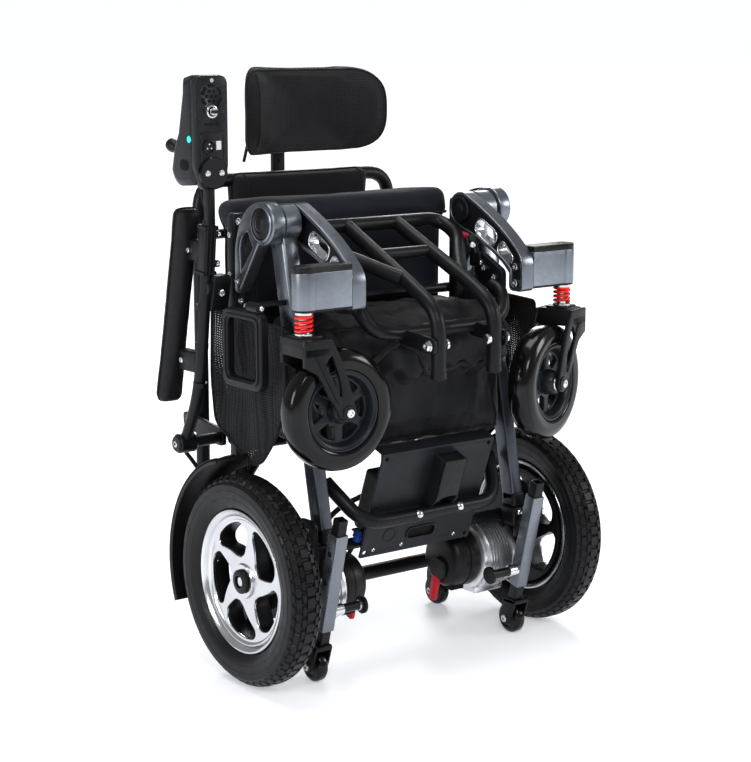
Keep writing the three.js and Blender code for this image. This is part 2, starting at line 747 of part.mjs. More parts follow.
// The square tube that slides in the sleeve and ends in the small wheel's fork.
function antiTipTube() {
  const length = vector(SLEEVE_TOP).distanceTo(vector(SLEEVE_BOTTOM));
  const hollow = bar(alongSleeve(-30), alongSleeve(14), 13, 13);
  const tube = cut(bar(alongSleeve(-24), alongSleeve(length + 32), 17, 17), hollow);
  const half = SMALL_WIDTH / 2;
  const [axleY, axleZ] = SMALL_AXLE_FRONT;
  const cheekCorners = [
    [axleY - 26, 58],
    [axleY + 6, 58],
    [axleY + 11, 22],
    [axleY - 3, 14],
    [axleY - 12, 22],
  ];
  const cheek = (x) => alongX(outline(cheekCorners, 7), x, x + 3);
  const outer = half + 5;
  const bridge = block([SMALL_X - outer, axleY - 24, 53], [SMALL_X + outer, axleY + 5, 58]);
  const axle = rod([SMALL_X - outer, axleY, axleZ], [SMALL_X + outer, axleY, axleZ], SMALL_AXLE_RADIUS);
  return join(tube, cheek(SMALL_X - outer), cheek(SMALL_X + half + 2), bridge, axle);
}

function smallWheel([axleY, axleZ]) {
  const half = SMALL_WIDTH / 2;
  const bore = SMALL_AXLE_RADIUS + GAP;
  const profile = [
    [bore, -half],
    [18, -half],
    [SMALL_RADIUS, -half + 4],
    [SMALL_RADIUS, half - 4],
    [18, half],
    [bore, half],
  ];
  return turned(profile, 14).translate(SMALL_X, axleY, axleZ);
}

// ---------------------------------------------------------------- drive wheels
function driveTyre() {
  const half = REAR_TYRE_WIDTH / 2;
  const treadHalf = 9;
  const profile = [
    [REAR_RIM_RADIUS + GAP, -17],
    [126, -half],
    [146, -half + 3],
    [REAR_RADIUS, -treadHalf],
    [REAR_RADIUS, treadHalf],
    [146, half - 3],
    [126, half],
    [REAR_RIM_RADIUS + GAP, 17],
  ];
  return turned(profile, WHEEL_SIDES).translate(REAR_TRACK, 0, REAR_RADIUS);
}

// A cast rim: deep barrel, five swept spokes and a hub that takes the motor shaft.
function driveRim() {
  const barrel = turned(
    [
      [94, -18],
      [REAR_RIM_RADIUS, -18],
      [REAR_RIM_RADIUS, 18],
      [94, 18],
      [90, 0],
    ],
    WHEEL_SIDES,
  );
  const windows = [];
  for (let i = 0; i < SPOKES; i += 1) {
    const turn = (2 * Math.PI * i) / SPOKES;
    const place = (radius, degrees) => {
      const angle = turn + radians(degrees);
      return [radius * Math.cos(angle), radius * Math.sin(angle)];
    };
    const corners = [place(36, 4), place(86, 18), place(90, 38), place(84, 58), place(40, 36)];
    windows.push(alongX(outline(corners, 14), -5, 11, 1));
  }
  const disc = turned([[8, -4], [94.5, -4], [94.5, 10], [8, 10]], WHEEL_SIDES);
  const spokes = cut(disc, ...windows);
  const hub = turned([[8, -22], [27, -22], [27, 14], [8, 14]], 12);
  const bore = rod([-30, 0, 0], [30, 0, 0], 9 + GAP, 12);
  return cut(join(barrel, spokes, hub), bore).translate(REAR_TRACK, 0, REAR_RADIUS);
}

// ---------------------------------------------------------------- seat
// The seat casting: a round cap on the fold axis and a teardrop loop that bolts to the seat rail.
function seatCasting() {
  const capRadius = 32;
  const shape = new THREE.Shape();
  shape.moveTo(KNUCKLE_Y, KNUCKLE_Z + capRadius);
  shape.quadraticCurveTo(90, 714, 104, 640);
  shape.lineTo(106, 588);
  shape.quadraticCurveTo(105, 572, 95, 574);
  shape.quadraticCurveTo(62, 620, KNUCKLE_Y + 10, KNUCKLE_Z - capRadius + 1);
  shape.absarc(KNUCKLE_Y, KNUCKLE_Z, capRadius, radians(-72), radians(-270), true);
  const opening = new THREE.Path();
  opening.moveTo(64, 668);
  opening.quadraticCurveTo(86, 670, 91, 640);
  opening.lineTo(93, 602);
  opening.quadraticCurveTo(76, 622, 56, 646);
  opening.closePath();
  shape.holes.push(opening);
  const body = alongX(shape, CASTING_INNER_X, CASTING_OUTER_X, 4);
  const capSeat = rod(onKnuckle(CASTING_OUTER_X - 2), onKnuckle(CASTING_OUTER_X + 1), 24, 20);
  const holeRadius = KNUCKLE_PIN_RADIUS + GAP;
  const hole = rod(onKnuckle(CASTING_INNER_X - 1), onKnuckle(CASTING_OUTER_X + 2), holeRadius, 12);
  return cut(join(body, capSeat), hole);
}

// Two rails with rounded ends, two cross tubes under the cushion and the backrest's hinge lugs.
function seatFrame() {
  const half = 10;
  const railFront = SEAT_RAIL_Y - half + 0.3;
  const railLow = [SEAT_RAIL_X - half, railFront, 240];
  const railHigh = [SEAT_RAIL_X + half, SEAT_RAIL_Y + half, 690];
  const [hingeY, hingeZ] = BACK_HINGE;
  const lugCorners = [
    [SEAT_RAIL_Y - 6, 276],
    [SEAT_RAIL_Y - 6, 244],
    [hingeY - 4, hingeZ - 17],
    [hingeY + 14, hingeZ - 10],
    [hingeY + 14, hingeZ + 12],
    [hingeY - 4, hingeZ + 17],
  ];
  const lug = cut(
    alongX(outline(lugCorners, 8), SEAT_RAIL_X - 8, SEAT_RAIL_X),
    rod([SEAT_RAIL_X - 9, hingeY, hingeZ], [SEAT_RAIL_X + 1, hingeY, hingeZ], 6 + GAP, 12),
  );
  const tubeRadius = 8;
  const tubeY = SEAT_CUSHION_FRONT - tubeRadius - GAP;
  const crossTube = (z) => rod([-SEAT_RAIL_X, tubeY, z], [SEAT_RAIL_X, tubeY, z], tubeRadius);
  const side = join(softBlock(railLow, railHigh, 4), lug);
  return join(side, mirrored(side), crossTube(545), crossTube(330));
}

function seatCushion() {
  const low = [-SEAT_HALF_WIDTH, SEAT_CUSHION_FRONT, SEAT_BOTTOM_Z];
  const high = [SEAT_HALF_WIDTH, SEAT_CUSHION_BACK, SEAT_TOP_Z];
  return softBlock(low, high, 18);
}

function underSeatBag() {
  const shape = outline([[-78, 334], [116, 340], [116, 536], [-30, 548], [-70, 520]], 22);
  return alongX(shape, -172, 172, 3);
}

function seatStay() {
  const [frontY, frontZ] = STAY_FRONT;
  const [rearY, rearZ] = STAY_REAR;
  const low = STRUT_OUTER_X + 1;
  const high = CASTING_INNER_X - 1.5;
  const middle = (low + high) / 2;
  const body = join(
    bar([middle, frontY, frontZ], [middle, rearY, rearZ], high - low, 18),
    rod([low, frontY, frontZ], [high, frontY, frontZ], 11, 14),
    rod([low, rearY, rearZ], [high, rearY, rearZ], 11, 14),
  );
  return cut(body, rod([low - 1, frontY, frontZ], [high + 1, frontY, frontZ], STAY_PIN_RADIUS + GAP));
}

// ---------------------------------------------------------------- backrest

// A hoop of tube with hinge lugs, armrest outriggers, a rear brace and the headrest post's holder.
function backFrame() {
  const [hingeY, hingeZ] = BACK_HINGE;
  const [stayY, stayZ] = STAY_REAR;
  const [pivotY, pivotZ] = ARMREST_PIVOT;
  const side = (sign) => [
    [sign * BACK_TUBE_X, BACK_TUBE_Y, 212],
    [sign * BACK_TUBE_X, BACK_TUBE_Y, HOOP_TOP_Z],
  ];
  const hoop = pipe([...side(-1), ...side(1).reverse()], FRAME_TUBE_RADIUS, 42, 3);
  const lugInner = BACK_TUBE_X + 3;
  const lugOuter = STRUT_OUTER_X;
  const lugCorners = [
    [stayY - 12, stayZ - 12],
    [stayY + 12, stayZ - 12],
    [BACK_TUBE_Y + 8, 222],
    [BACK_TUBE_Y + 8, 262],
    [hingeY + 6, hingeZ + 15],
    [hingeY - 13, hingeZ + 12],
  ];
  const lug = alongX(outline(lugCorners, 8), lugInner, lugOuter);
  const hingePin = rod([lugInner, hingeY, hingeZ], [SEAT_RAIL_X + 3, hingeY, hingeZ], 6);
  const plateInner = SEAT_HALF_WIDTH + 3;
  const plateOuter = plateInner + 7;
  const armCorners = [
    [pivotY - 12, pivotZ - 12],
    [pivotY + 8, pivotZ - 14],
    [BACK_TUBE_Y + 10, pivotZ - 4],
    [BACK_TUBE_Y + 10, pivotZ + 34],
    [BACK_TUBE_Y - 8, pivotZ + 34],
    [pivotY - 10, pivotZ + 14],
  ];
  const outrigger = alongX(outline(armCorners, 8), plateInner, plateOuter);
  const weldZ = pivotZ + 12;
  const weld = rod([BACK_TUBE_X, BACK_TUBE_Y, weldZ], [plateOuter - 1, BACK_TUBE_Y, weldZ], 8);
  const armPin = rod([plateInner, pivotY, pivotZ], [ARMREST_X - 17, pivotY, pivotZ], 9);
  const half = join(lug, hingePin, outrigger, weld, armPin);
  const braceZ = 640;
  const braceRadius = 8;
  const braceY = BACK_PAD_BACK + braceRadius + 3;
  const braceEnd = (sign) => [
    [sign * BACK_TUBE_X, BACK_TUBE_Y, braceZ],
    [sign * (BACK_PAD_HALF_WIDTH + 22), braceY, braceZ],
  ];
  const brace = pipe([...braceEnd(-1), ...braceEnd(1).reverse()], braceRadius, 20);
  const holder = cut(
    block([-22, braceY, 622], [22, HEADREST_POST_Y + 12, 660]),
    block([-12 - GAP, HEADREST_POST_Y - 4 - GAP, 600], [12 + GAP, HEADREST_POST_Y + 4 + GAP, 680]),
  );
  return join(hoop, half, mirrored(half), brace, holder);
}

// The back pad is threaded onto the top of the hoop, which runs through a sleeve in it.
function backPad() {
  const low = [-BACK_PAD_HALF_WIDTH, BACK_PAD_FRONT, 290];
  const high = [BACK_PAD_HALF_WIDTH, BACK_PAD_BACK, 750];
  const tunnelEnd = BACK_PAD_HALF_WIDTH + 2;
  const tunnelAt = (x) => [x, BACK_TUBE_Y, HOOP_TOP_Z];
  const tunnel = rod(tunnelAt(-tunnelEnd), tunnelAt(tunnelEnd), FRAME_TUBE_RADIUS + 1, 12);
  return cut(softBlock(low, high, 16), tunnel);
}

// A flat steel post that slides in the backrest's holder and carries the headrest's tilt hinge.
function headrestPost() {
  const post = block([-12, HEADREST_POST_Y - 4, 610], [12, HEADREST_POST_Y + 4, 812]);
  const hingeAt = (x) => [x, HEADREST_POST_Y, HEADREST_HINGE_Z];
  const hinge = rod(hingeAt(-12), hingeAt(12), 12, 16);
  return join(post, hinge);
}

// A curved pad whose wings thin towards their ends, with two hinge ears on its back.
function headrestPad() {
  const halfWidth = 139;
  const wingFront = 196;
  const wingBack = 212;
  const middleFront = 242;
  const middleBack = 289;
  const plan = new THREE.Shape();
  plan.moveTo(-halfWidth, wingFront);
  plan.quadraticCurveTo(0, 2 * middleFront - wingFront, halfWidth, wingFront);
  plan.lineTo(halfWidth, wingBack);
  plan.quadraticCurveTo(0, 2 * middleBack - wingBack, -halfWidth, wingBack);
  plan.closePath();
  const crescent = alongZ(plan, 766, 908, 8);
  const face = alongY(rectangle(0, 838, halfWidth, 68, 58), 180, 330, 4);
  const hingeAt = (x) => [x, HEADREST_POST_Y, HEADREST_HINGE_Z];
  const ear = (x) => join(
    rod(hingeAt(x), hingeAt(x + 8), 11, 12),
    block([x, 276, HEADREST_HINGE_Z - 10], [x + 8, HEADREST_POST_Y, HEADREST_HINGE_Z + 10]),
  );
  return join(common(crescent, face), ear(12.5), ear(-20.5));
}

// ---------------------------------------------------------------- armrests

function armrestFrame() {
  const [pivotY, pivotZ] = ARMREST_PIVOT;
  const tube = pipe(
    [
      [ARMREST_X, 94, STALK_FOOT_Z - GAP],
      [ARMREST_X, 112, 520],
      [ARMREST_X, 128, 420],
      [ARMREST_X, pivotY, pivotZ],
    ],
    9,
    60,
  );
  const pivot = rod([ARMREST_X - 16, pivotY, pivotZ], [ARMREST_X + 14, pivotY, pivotZ], 15, 12);
  const clamp = bar([ARMREST_X, 95, 680], [ARMREST_X, 103, 606], 24, 24);
  const padBracket = (y, z) => block([ARMREST_X - 9, y, z - 16], [ARMREST_X + 9, y + 50, z + 16]);
  const panelCorners = [
    [84, 604],
    [122, 604],
    [128, 556],
    [96, 548],
  ];
  const panelBracket = join(
    alongX(outline(panelCorners, 10), 246, ARMREST_X - 4),
    rod([240, 118, 588], [252, 118, 588], 15, 12),
  );
  const body = join(tube, pivot, clamp, padBracket(98, 640), padBracket(122, 470), panelBracket);
  return cut(body, armrestPadSolid(1));
}

function armrestPadSolid(grow) {
  const length = Math.hypot(PAD_TOP[0] - PAD_BOTTOM[0], PAD_TOP[1] - PAD_BOTTOM[1]) + 2 * grow;
  const pad = new RoundedBoxGeometry(44 + 2 * grow, length, 32 + 2 * grow, 1, 12);
  return layAlong(pad, [ARMREST_X + 6, ...PAD_BOTTOM], [ARMREST_X + 6, ...PAD_TOP]);
}

function sidePanel() {
  const corners = [[132, 546, 6], [132, 366], [22, 324, 20], [-50, 438, 30], [-44, 538]];
  return alongX(outline(corners, 12), 241, 244);
}

// ---------------------------------------------------------------- joystick unit
// The control box: a wedge that is deepest at its joystick end, on a disc bracket and a flat stalk.

function joystickHousing() {
  const [stickY, stickZ] = STICK_PIVOT;
  const profile = new THREE.Shape();
  profile.moveTo(BOX_FRONT + 2, 886);
  profile.quadraticCurveTo(88, 898, 100, 898);
  profile.quadraticCurveTo(116, 896, 121, 872);
  profile.lineTo(134, 814);
  profile.lineTo(146, 792);
  profile.lineTo(156, 766);
  profile.quadraticCurveTo(150, 738, 128, 736);
  profile.quadraticCurveTo(96, 738, BOX_FRONT - 1, 760);
  profile.closePath();
  const box = alongX(profile, -BOX_HALF_WIDTH, BOX_HALF_WIDTH, 3);
  const faceCorners = [
    [-BOX_HALF_WIDTH, 898, 14],
    [BOX_HALF_WIDTH, 898, 14],
    [BOX_HALF_WIDTH, 764],
    [BOX_HALF_WIDTH - 9, 734],
    [9 - BOX_HALF_WIDTH, 734],
    [-BOX_HALF_WIDTH, 764],
  ];
  const face = alongY(outline(faceCorners, 8), 60, 170, 2);
  const well = rod([0, stickY - 8, stickZ - 3], [0, stickY + 20, stickZ + 7], 17, 16);
  const keyHole = rod([0, BOX_FRONT - 10, KEY_Z], [0, BOX_FRONT + 14, KEY_Z], 7);
  const bracketZ = 757;
  const disc = rod([0, 74, bracketZ], [0, 98, bracketZ], 24, 18);
  const stalk = block([-7, 84, STALK_FOOT_Z], [7, 96, bracketZ]);
  const stickPost = rod([0, stickY - 4, stickZ - 1], [0, stickY - 22, stickZ - 8], 4, 8);
  const body = cut(common(box, face), well, keyHole);
  return join(body, disc, stalk, stickPost).translate(-ARMREST_X, 0, 0);
}

function joystickGimbal() {
  const ring = turned([[9, -3], [13, -3], [13, 3], [9, 3]], 14).rotateZ(Math.PI / 2);
  return ring.rotateX(radians(STICK_RISE)).translate(-ARMREST_X, ...STICK_PIVOT);
}

// A rubber boot under a waisted knob, turned about the stick's own axis.
function joystickLever() {
  const profile = [
    [0, -1],
    [5, -1],
    [5, 6],
    [15.5, 7],
    [14, 12],
    [6, 22],
    [6, 30],
    [10, 36],
    [9, 47],
    [0, 50],
  ];
  const boot = new THREE.LatheGeometry(profile.map(([r, h]) => new THREE.Vector2(r, h)), 14);
  return boot.rotateX(radians(STICK_RISE)).translate(-ARMREST_X, ...STICK_PIVOT);
}

function powerKey() {
  const barrel = rod([0, KEY_FRONT + 8, KEY_Z], [0, BOX_FRONT + 12, KEY_Z], 6);
  const bow = alongZ(rectangle(0, KEY_FRONT + 4, 9, 6, 5), KEY_Z - 2, KEY_Z + 2);
  return join(barrel, bow).translate(-ARMREST_X, 0, 0);
}

// A grab handle that lies flat against the side and swings out on a lug beside the strut.
function sideHandle() {
  const outer = rectangle(16, 504, 52, 58, 18);
  outer.holes.push(rectangle(16, 504, 38, 44, 12));
  const loop = alongX(outer, HANDLE_X - 7, HANDLE_X + 7, 3);
  const knuckle = rod([HANDLE_X, -26, HANDLE_HINGE_Z], [HANDLE_X, 2, HANDLE_HINGE_Z], 8, 12);
  const bore = rod([HANDLE_X, -40, HANDLE_HINGE_Z], [HANDLE_X, 4, HANDLE_HINGE_Z], HANDLE_PIN_RADIUS + GAP);
  return mirrored(cut(join(loop, knuckle), bore));
}

// ---------------------------------------------------------------- the chair
addPair("front_arm", CAST_GREY, frontArm());
addPair("caster_housing", CAST_GREY, casterHousing());
add("front_cross_tube", POWDER_BLACK, frontCrossTube());
add("footrest_frame", POWDER_BLACK, footrestFrame());
addCaster("right", -1, RIGHT_CASTER_TURN);
addCaster("left", 1, LEFT_CASTER_TURN);

add("left_strut", CAST_GREY, strut());
add("right_strut", CAST_GREY, mirrored(strutWithHandleArm()));
add("base_frame", POWDER_BLACK, baseFrame());
add("controller_plate", POWDER_GREY, controllerPlate());
add("battery_pack", BATTERY_CASE, batteryPack());
add("bumper_tube", POWDER_BLACK, bumperTube());
addPair("drive_motor", MOTOR_SILVER, motor());
addPair("clutch_lever", LEVER_RED, clutchLever());
addPair("fender", BLACK_PLASTIC, fender());
addPair("anti_tip_sleeve", CAST_GREY, antiTipSleeve());
addPair("anti_tip_tube", POWDER_BLACK, antiTipTube());
addPair("anti_tip_wheel", CASTER_RUBBER, smallWheel(SMALL_AXLE_FRONT));
addPair("transport_wheel", CASTER_RUBBER, smallWheel(SMALL_AXLE_REAR));
addPair("drive_tyre", TYRE_RUBBER, driveTyre());
addPair("drive_rim", POLISHED, driveRim());

addPair("seat_casting", CAST_GREY, seatCasting());
add("seat_frame", POWDER_BLACK, seatFrame());
add("seat_cushion", SEAT_CLOTH, seatCushion());
add("under_seat_bag", SEAT_CLOTH, underSeatBag());
addPair("seat_stay", POWDER_BLACK, seatStay());

add("back_frame", POWDER_BLACK, backFrame());
add("back_pad", SEAT_CLOTH, backPad());
add("headrest_post", POWDER_BLACK, headrestPost());
add("headrest_pad", MESH_CLOTH, headrestPad());

addPair("armrest_frame", POWDER_BLACK, armrestFrame());
addPair("armrest_pad", PAD_VINYL, armrestPadSolid(0));
addPair("side_panel", MESH_CLOTH, sidePanel());
add("joystick_housing", DARK_PLASTIC, joystickHousing());
add("joystick_gimbal", POWDER_GREY, joystickGimbal());
add("joystick_lever", BLACK_PLASTIC, joystickLever());
add("power_key", POLISHED, powerKey());
add("side_handle", BLACK_PLASTIC, sideHandle());

export default chair;
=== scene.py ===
"""Folding power wheelchair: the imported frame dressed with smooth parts, upholstery and materials."""
import json
import math

import bmesh
import bpy
from mathutils import Matrix, Vector, noise

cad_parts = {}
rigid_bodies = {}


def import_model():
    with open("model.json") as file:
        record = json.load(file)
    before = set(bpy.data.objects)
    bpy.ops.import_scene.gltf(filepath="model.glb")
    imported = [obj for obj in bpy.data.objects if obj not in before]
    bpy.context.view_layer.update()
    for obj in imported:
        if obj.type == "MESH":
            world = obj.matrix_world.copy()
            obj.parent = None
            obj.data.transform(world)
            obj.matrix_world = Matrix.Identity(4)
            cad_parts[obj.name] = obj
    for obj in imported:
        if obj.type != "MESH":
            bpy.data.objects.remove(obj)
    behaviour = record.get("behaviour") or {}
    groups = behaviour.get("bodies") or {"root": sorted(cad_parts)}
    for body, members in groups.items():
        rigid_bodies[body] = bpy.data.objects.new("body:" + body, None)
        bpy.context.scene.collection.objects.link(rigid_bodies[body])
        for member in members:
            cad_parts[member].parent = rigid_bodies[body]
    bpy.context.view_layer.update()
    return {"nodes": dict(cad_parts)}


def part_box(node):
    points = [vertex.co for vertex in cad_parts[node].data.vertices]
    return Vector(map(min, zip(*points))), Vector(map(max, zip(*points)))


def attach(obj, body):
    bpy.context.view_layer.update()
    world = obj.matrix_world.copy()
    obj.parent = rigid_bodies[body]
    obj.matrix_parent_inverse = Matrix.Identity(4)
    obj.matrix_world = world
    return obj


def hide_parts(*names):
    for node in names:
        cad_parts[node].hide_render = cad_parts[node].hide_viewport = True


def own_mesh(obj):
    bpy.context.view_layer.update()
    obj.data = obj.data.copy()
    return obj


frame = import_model()
MM = 0.001
SIDES = (("left", 1), ("right", -1))
X, Y, Z = Vector((1, 0, 0)), Vector((0, 1, 0)), Vector((0, 0, 1))


def middle(node):
    low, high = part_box(node)
    return (low + high) / 2


AXLE_Y = middle("left_drive_tyre").y


def place(x, y, z):
    """A point given in millimetres, with y counted from the rear axle and z from the floor."""
    return Vector((x * MM, y * MM + AXLE_Y, z * MM))


# ------------------------------------------------------------------ materials
class Nodes:
    """Small helper that wires shader nodes in a new material."""

    def __init__(self, name):
        self.material = bpy.data.materials.new(name)
        self.material.use_nodes = True
        self.tree = self.material.node_tree
        self.shader = self.tree.nodes["Principled BSDF"]
        self.where = self.add("ShaderNodeTexCoord").outputs["Object"]

    def add(self, kind, **values):
        node = self.tree.nodes.new(kind)
        for key, value in values.items():
            setattr(node, key, value)
        return node

    def link(self, source, target):
        self.tree.links.new(source, target)

    def put(self, target, value):
        if isinstance(value, (int, float, tuple)):
            target.default_value = value
        else:
            self.link(value, target)

    def set(self, **values):
        for key, value in values.items():
            self.put(self.shader.inputs[key.replace("_", " ")], value)

    def math(self, operation, first, second=0.0):
        node = self.add("ShaderNodeMath", operation=operation)
        self.put(node.inputs[0], first)
        self.put(node.inputs[1], second)
        return node.outputs[0]

    def noise(self, scale, detail=3.0):
        node = self.add("ShaderNodeTexNoise")
        self.link(self.where, node.inputs["Vector"])
        node.inputs["Scale"].default_value = scale
        node.inputs["Detail"].default_value = detail
        return node.outputs["Fac"]

    def ripple(self, direction, pitch):
        """A sine wave of the given pitch in metres along a direction."""
        dot = self.add("ShaderNodeVectorMath", operation="DOT_PRODUCT")
        self.link(self.where, dot.inputs[0])
        dot.inputs[1].default_value = tuple(Vector(direction).normalized() * (2 * math.pi / pitch))
        return self.math("SINE", dot.outputs["Value"])

    def spread(self, value, low, high, start=0.3, end=0.7):
        node = self.add("ShaderNodeMapRange")
        self.put(node.inputs["Value"], value)
        for key, number in (("From Min", start), ("From Max", end), ("To Min", low), ("To Max", high)):
            node.inputs[key].default_value = number
        return node.outputs["Result"]

    def mix(self, amount, first, second):
        node = self.add("ShaderNodeMix", data_type="RGBA")
        self.put(node.inputs[0], amount)
        self.put(node.inputs[6], first)
        self.put(node.inputs[7], second)
        return node.outputs[2]

    def bump(self, height, strength, distance=0.001):
        node = self.add("ShaderNodeBump")
        self.link(height, node.inputs["Height"])
        node.inputs["Strength"].default_value = strength
        node.inputs["Distance"].default_value = distance
        self.link(node.outputs["Normal"], self.shader.inputs["Normal"])


def shade(color, gain):
    """A colour with its brightness multiplied, as a shader's four numbers."""
    return tuple(min(1.0, channel * gain) for channel in color) + (1.0,)


def hard(name, color, rough, metal=0.0, grain=700, depth=0.15, mottle=0.15, wear=0.0, coat=0.0):
    """Metal, plastic or rubber: mottled colour, uneven roughness, fine grain and rubbed edges."""
    nodes = Nodes(name)
    base = nodes.mix(nodes.spread(nodes.noise(24), 0, 1), shade(color, 1 - mottle),
                     shade(color, 1 + mottle))
    if wear:
        edges = nodes.add("ShaderNodeNewGeometry").outputs["Pointiness"]
        rubbed = nodes.math("MULTIPLY", nodes.spread(edges, 0, wear, 0.52, 0.6), nodes.noise(160))
        base = nodes.mix(rubbed, base, shade(color, 3.0) if metal else shade(color, 2.0))
    nodes.set(Base_Color=base, Metallic=metal, Coat_Weight=coat, Coat_Roughness=0.08,
              Specular_IOR_Level=0.2)
    nodes.set(Roughness=nodes.spread(nodes.noise(70), rough * 0.85, min(1.0, rough * 1.2)))
    nodes.bump(nodes.noise(grain, 2.0), depth, 0.0004)
    return nodes.material


def cloth(name, color, pitch, depth=0.5, sheen=0.15, holes=0.0, slant=1.0, light=1.6, rough=0.85, gaps=0.0):
    """Woven or knitted cloth: two crossed sets of threads with slubs and a little sheen."""
    nodes = Nodes(name)
    warp = nodes.ripple((1, 0.35, slant), pitch)
    weft = nodes.ripple((1, 0.35, -slant), pitch)
    lattice = nodes.math("MULTIPLY", warp, weft)
    lattice = nodes.math("MULTIPLY_ADD", lattice, 0.5)
    lattice.node.inputs[2].default_value = 0.5
    slubs = nodes.noise(9, 4.0)
    fibres = nodes.noise(1400, 2.0)
    tone = nodes.math("MULTIPLY_ADD", slubs, 0.6)
    nodes.link(nodes.math("MULTIPLY", fibres, 0.4), tone.node.inputs[2])
    base = nodes.mix(nodes.spread(tone, 0, 1), shade(color, 0.7), shade(color, light))
    # Where holes is set, the weave darkens to near-black at its low points: painted shade in and around the
    # holes.
    if holes:
        base = nodes.mix(nodes.math("MULTIPLY", nodes.spread(lattice, 1, 0, 0.1, 0.55), holes), base,
                         (0.001, 0.001, 0.001, 1))
    nodes.set(Base_Color=base, Roughness=rough, Sheen_Weight=sheen, Sheen_Roughness=0.45,
              Specular_IOR_Level=0.16)
    if gaps:
        nodes.set(Alpha=nodes.math("GREATER_THAN", lattice, gaps))
    height = nodes.math("MULTIPLY_ADD", lattice, 0.8)
    nodes.link(nodes.math("MULTIPLY", fibres, 0.3), height.node.inputs[2])
    nodes.bump(height, depth, 0.0008)
    return nodes.material


def glow(name, color):
    """A small lit lens."""
    nodes = Nodes(name)
    tint = nodes.mix(nodes.noise(300), shade(color, 0.8), shade(color, 1.2))
    nodes.set(Base_Color=tint, Emission_Color=tint, Emission_Strength=0.8, Roughness=0.2)
    return nodes.material


CAST = hard("cast_grey", (0.165, 0.182, 0.205), 0.30, 0.9, grain=1800, wear=0.3, depth=0.07, mottle=0.06)
SLATE = hard("cast_slate", (0.060, 0.068, 0.080), 0.32, 0.85, grain=1800, wear=0.3, depth=0.07, mottle=0.08)
# Near-black metal for the pivot's domed nut and the small discs on the sleeves; in the seat casting's
# opening it is painted shade.
DARK_CAST_AND_SHADE = hard("cast_dark", (0.012, 0.013, 0.015), 0.3, 0.3, wear=0.4)
BLACK = hard("powder_black", (0.0055, 0.0058, 0.0066), 0.36, 0.1, grain=1100, depth=0.25, wear=0.25)
PLATE = hard("powder_grey", (0.010, 0.012, 0.0155), 0.40, 0.2, grain=900, depth=0.25, wear=0.35)
POLISHED = hard("polished_alloy", (0.60, 0.61, 0.63), 0.2, 1.0, depth=0.05, mottle=0.06)
# The motor's silver is made brighter to make up for the shadow it sits in: partly its own colour, partly
# painted light.
SILVER_PAINTED_LIGHT = hard("motor_silver", (0.72, 0.73, 0.75), 0.32, 0.95, depth=0.15)
STEEL = hard("bolt_steel", (0.62, 0.63, 0.65), 0.2, 1.0, depth=0.1)
TREAD = hard("drive_rubber", (0.0045, 0.0046, 0.0052), 0.40, grain=450, depth=0.3, mottle=0.35)
GLOSS = hard("caster_rubber", (0.0020, 0.0020, 0.0023), 0.16, grain=900, depth=0.01, mottle=0.3, coat=0.1)
HUB = hard("caster_grey", (0.009, 0.0115, 0.0155), 0.32, depth=0.2, wear=0.3)
PLASTIC = hard("black_plastic", (0.0048, 0.0048, 0.0054), 0.36, grain=1500, depth=0.3)
RUBBER = hard("soft_rubber", (0.0045, 0.0045, 0.0047), 0.6, grain=900, depth=0.5)
CHARCOAL = hard("joystick_grey", (0.0125, 0.0135, 0.0155), 0.27, 0.25, grain=1600, depth=0.15, wear=0.3)
RED = hard("spring_red", (0.72, 0.010, 0.006), 0.22, 0.1, coat=0.5, depth=0.1)
LEVER = hard("lever_red", (0.45, 0.008, 0.020), 0.35, depth=0.1)
PALE = hard("pale_inset", (0.62, 0.63, 0.64), 0.5, depth=0.1)
BATTERY = hard("battery_black", (0.008, 0.0085, 0.0095), 0.5)
# Near-black fill put into holes, slots, openings and the inside of the drive wheel: painted shade.
RECESS_SHADE = hard("dark_recess", (0.002, 0.002, 0.002), 0.8, depth=0.2)
LAMP = glow("status_lamp", (0.01, 0.60, 0.50))
SEAT = cloth("seat_fabric", (0.0062, 0.0072, 0.0125), 0.0024, 0.45, 0.12)
SMOOTH = cloth("back_fabric", (0.0052, 0.0054, 0.0068), 0.0014, 0.25, 0.08)
NYLON = cloth("bag_fabric", (0.0058, 0.0060, 0.0072), 0.0011, 0.3, 0.06, rough=0.5)
# The spacer mesh and the side mesh carry painted shade in their holes.
SPACER = cloth("spacer_mesh", (0.0056, 0.0057, 0.0064), 0.0042, 1.0, 0.12, holes=0.85, slant=1.0, light=2.8)
NET = cloth("side_mesh", (0.0085, 0.0088, 0.0098), 0.0048, 1.0, 0.1, holes=0.9, slant=0.9, light=2.2,
            gaps=0.2)
PIPING = cloth("piping", (0.0055, 0.0055, 0.0063), 0.0016, 0.4, 0.08)
SKIN = hard("arm_vinyl", (0.0052, 0.0053, 0.0060), 0.50, grain=650, depth=0.45)


# ------------------------------------------------------------------ shapes (millimetres)
def arc(across, up, radius, start, end, steps=14):
    """Points of a circular arc, its turns in degrees."""
    turns = [math.radians(start + (end - start) * i / steps) for i in range(steps + 1)]
    return [(across + radius * math.cos(t), up + radius * math.sin(t)) for t in turns]


def curve_to(start, pull, end, steps=10):
    """Points of a quadratic curve, without its first point."""
    a, b, c = Vector(start), Vector(pull), Vector(end)
    spots = [i / steps for i in range(1, steps + 1)]
    return [tuple(a * (1 - t) ** 2 + b * 2 * t * (1 - t) + c * t * t) for t in spots]


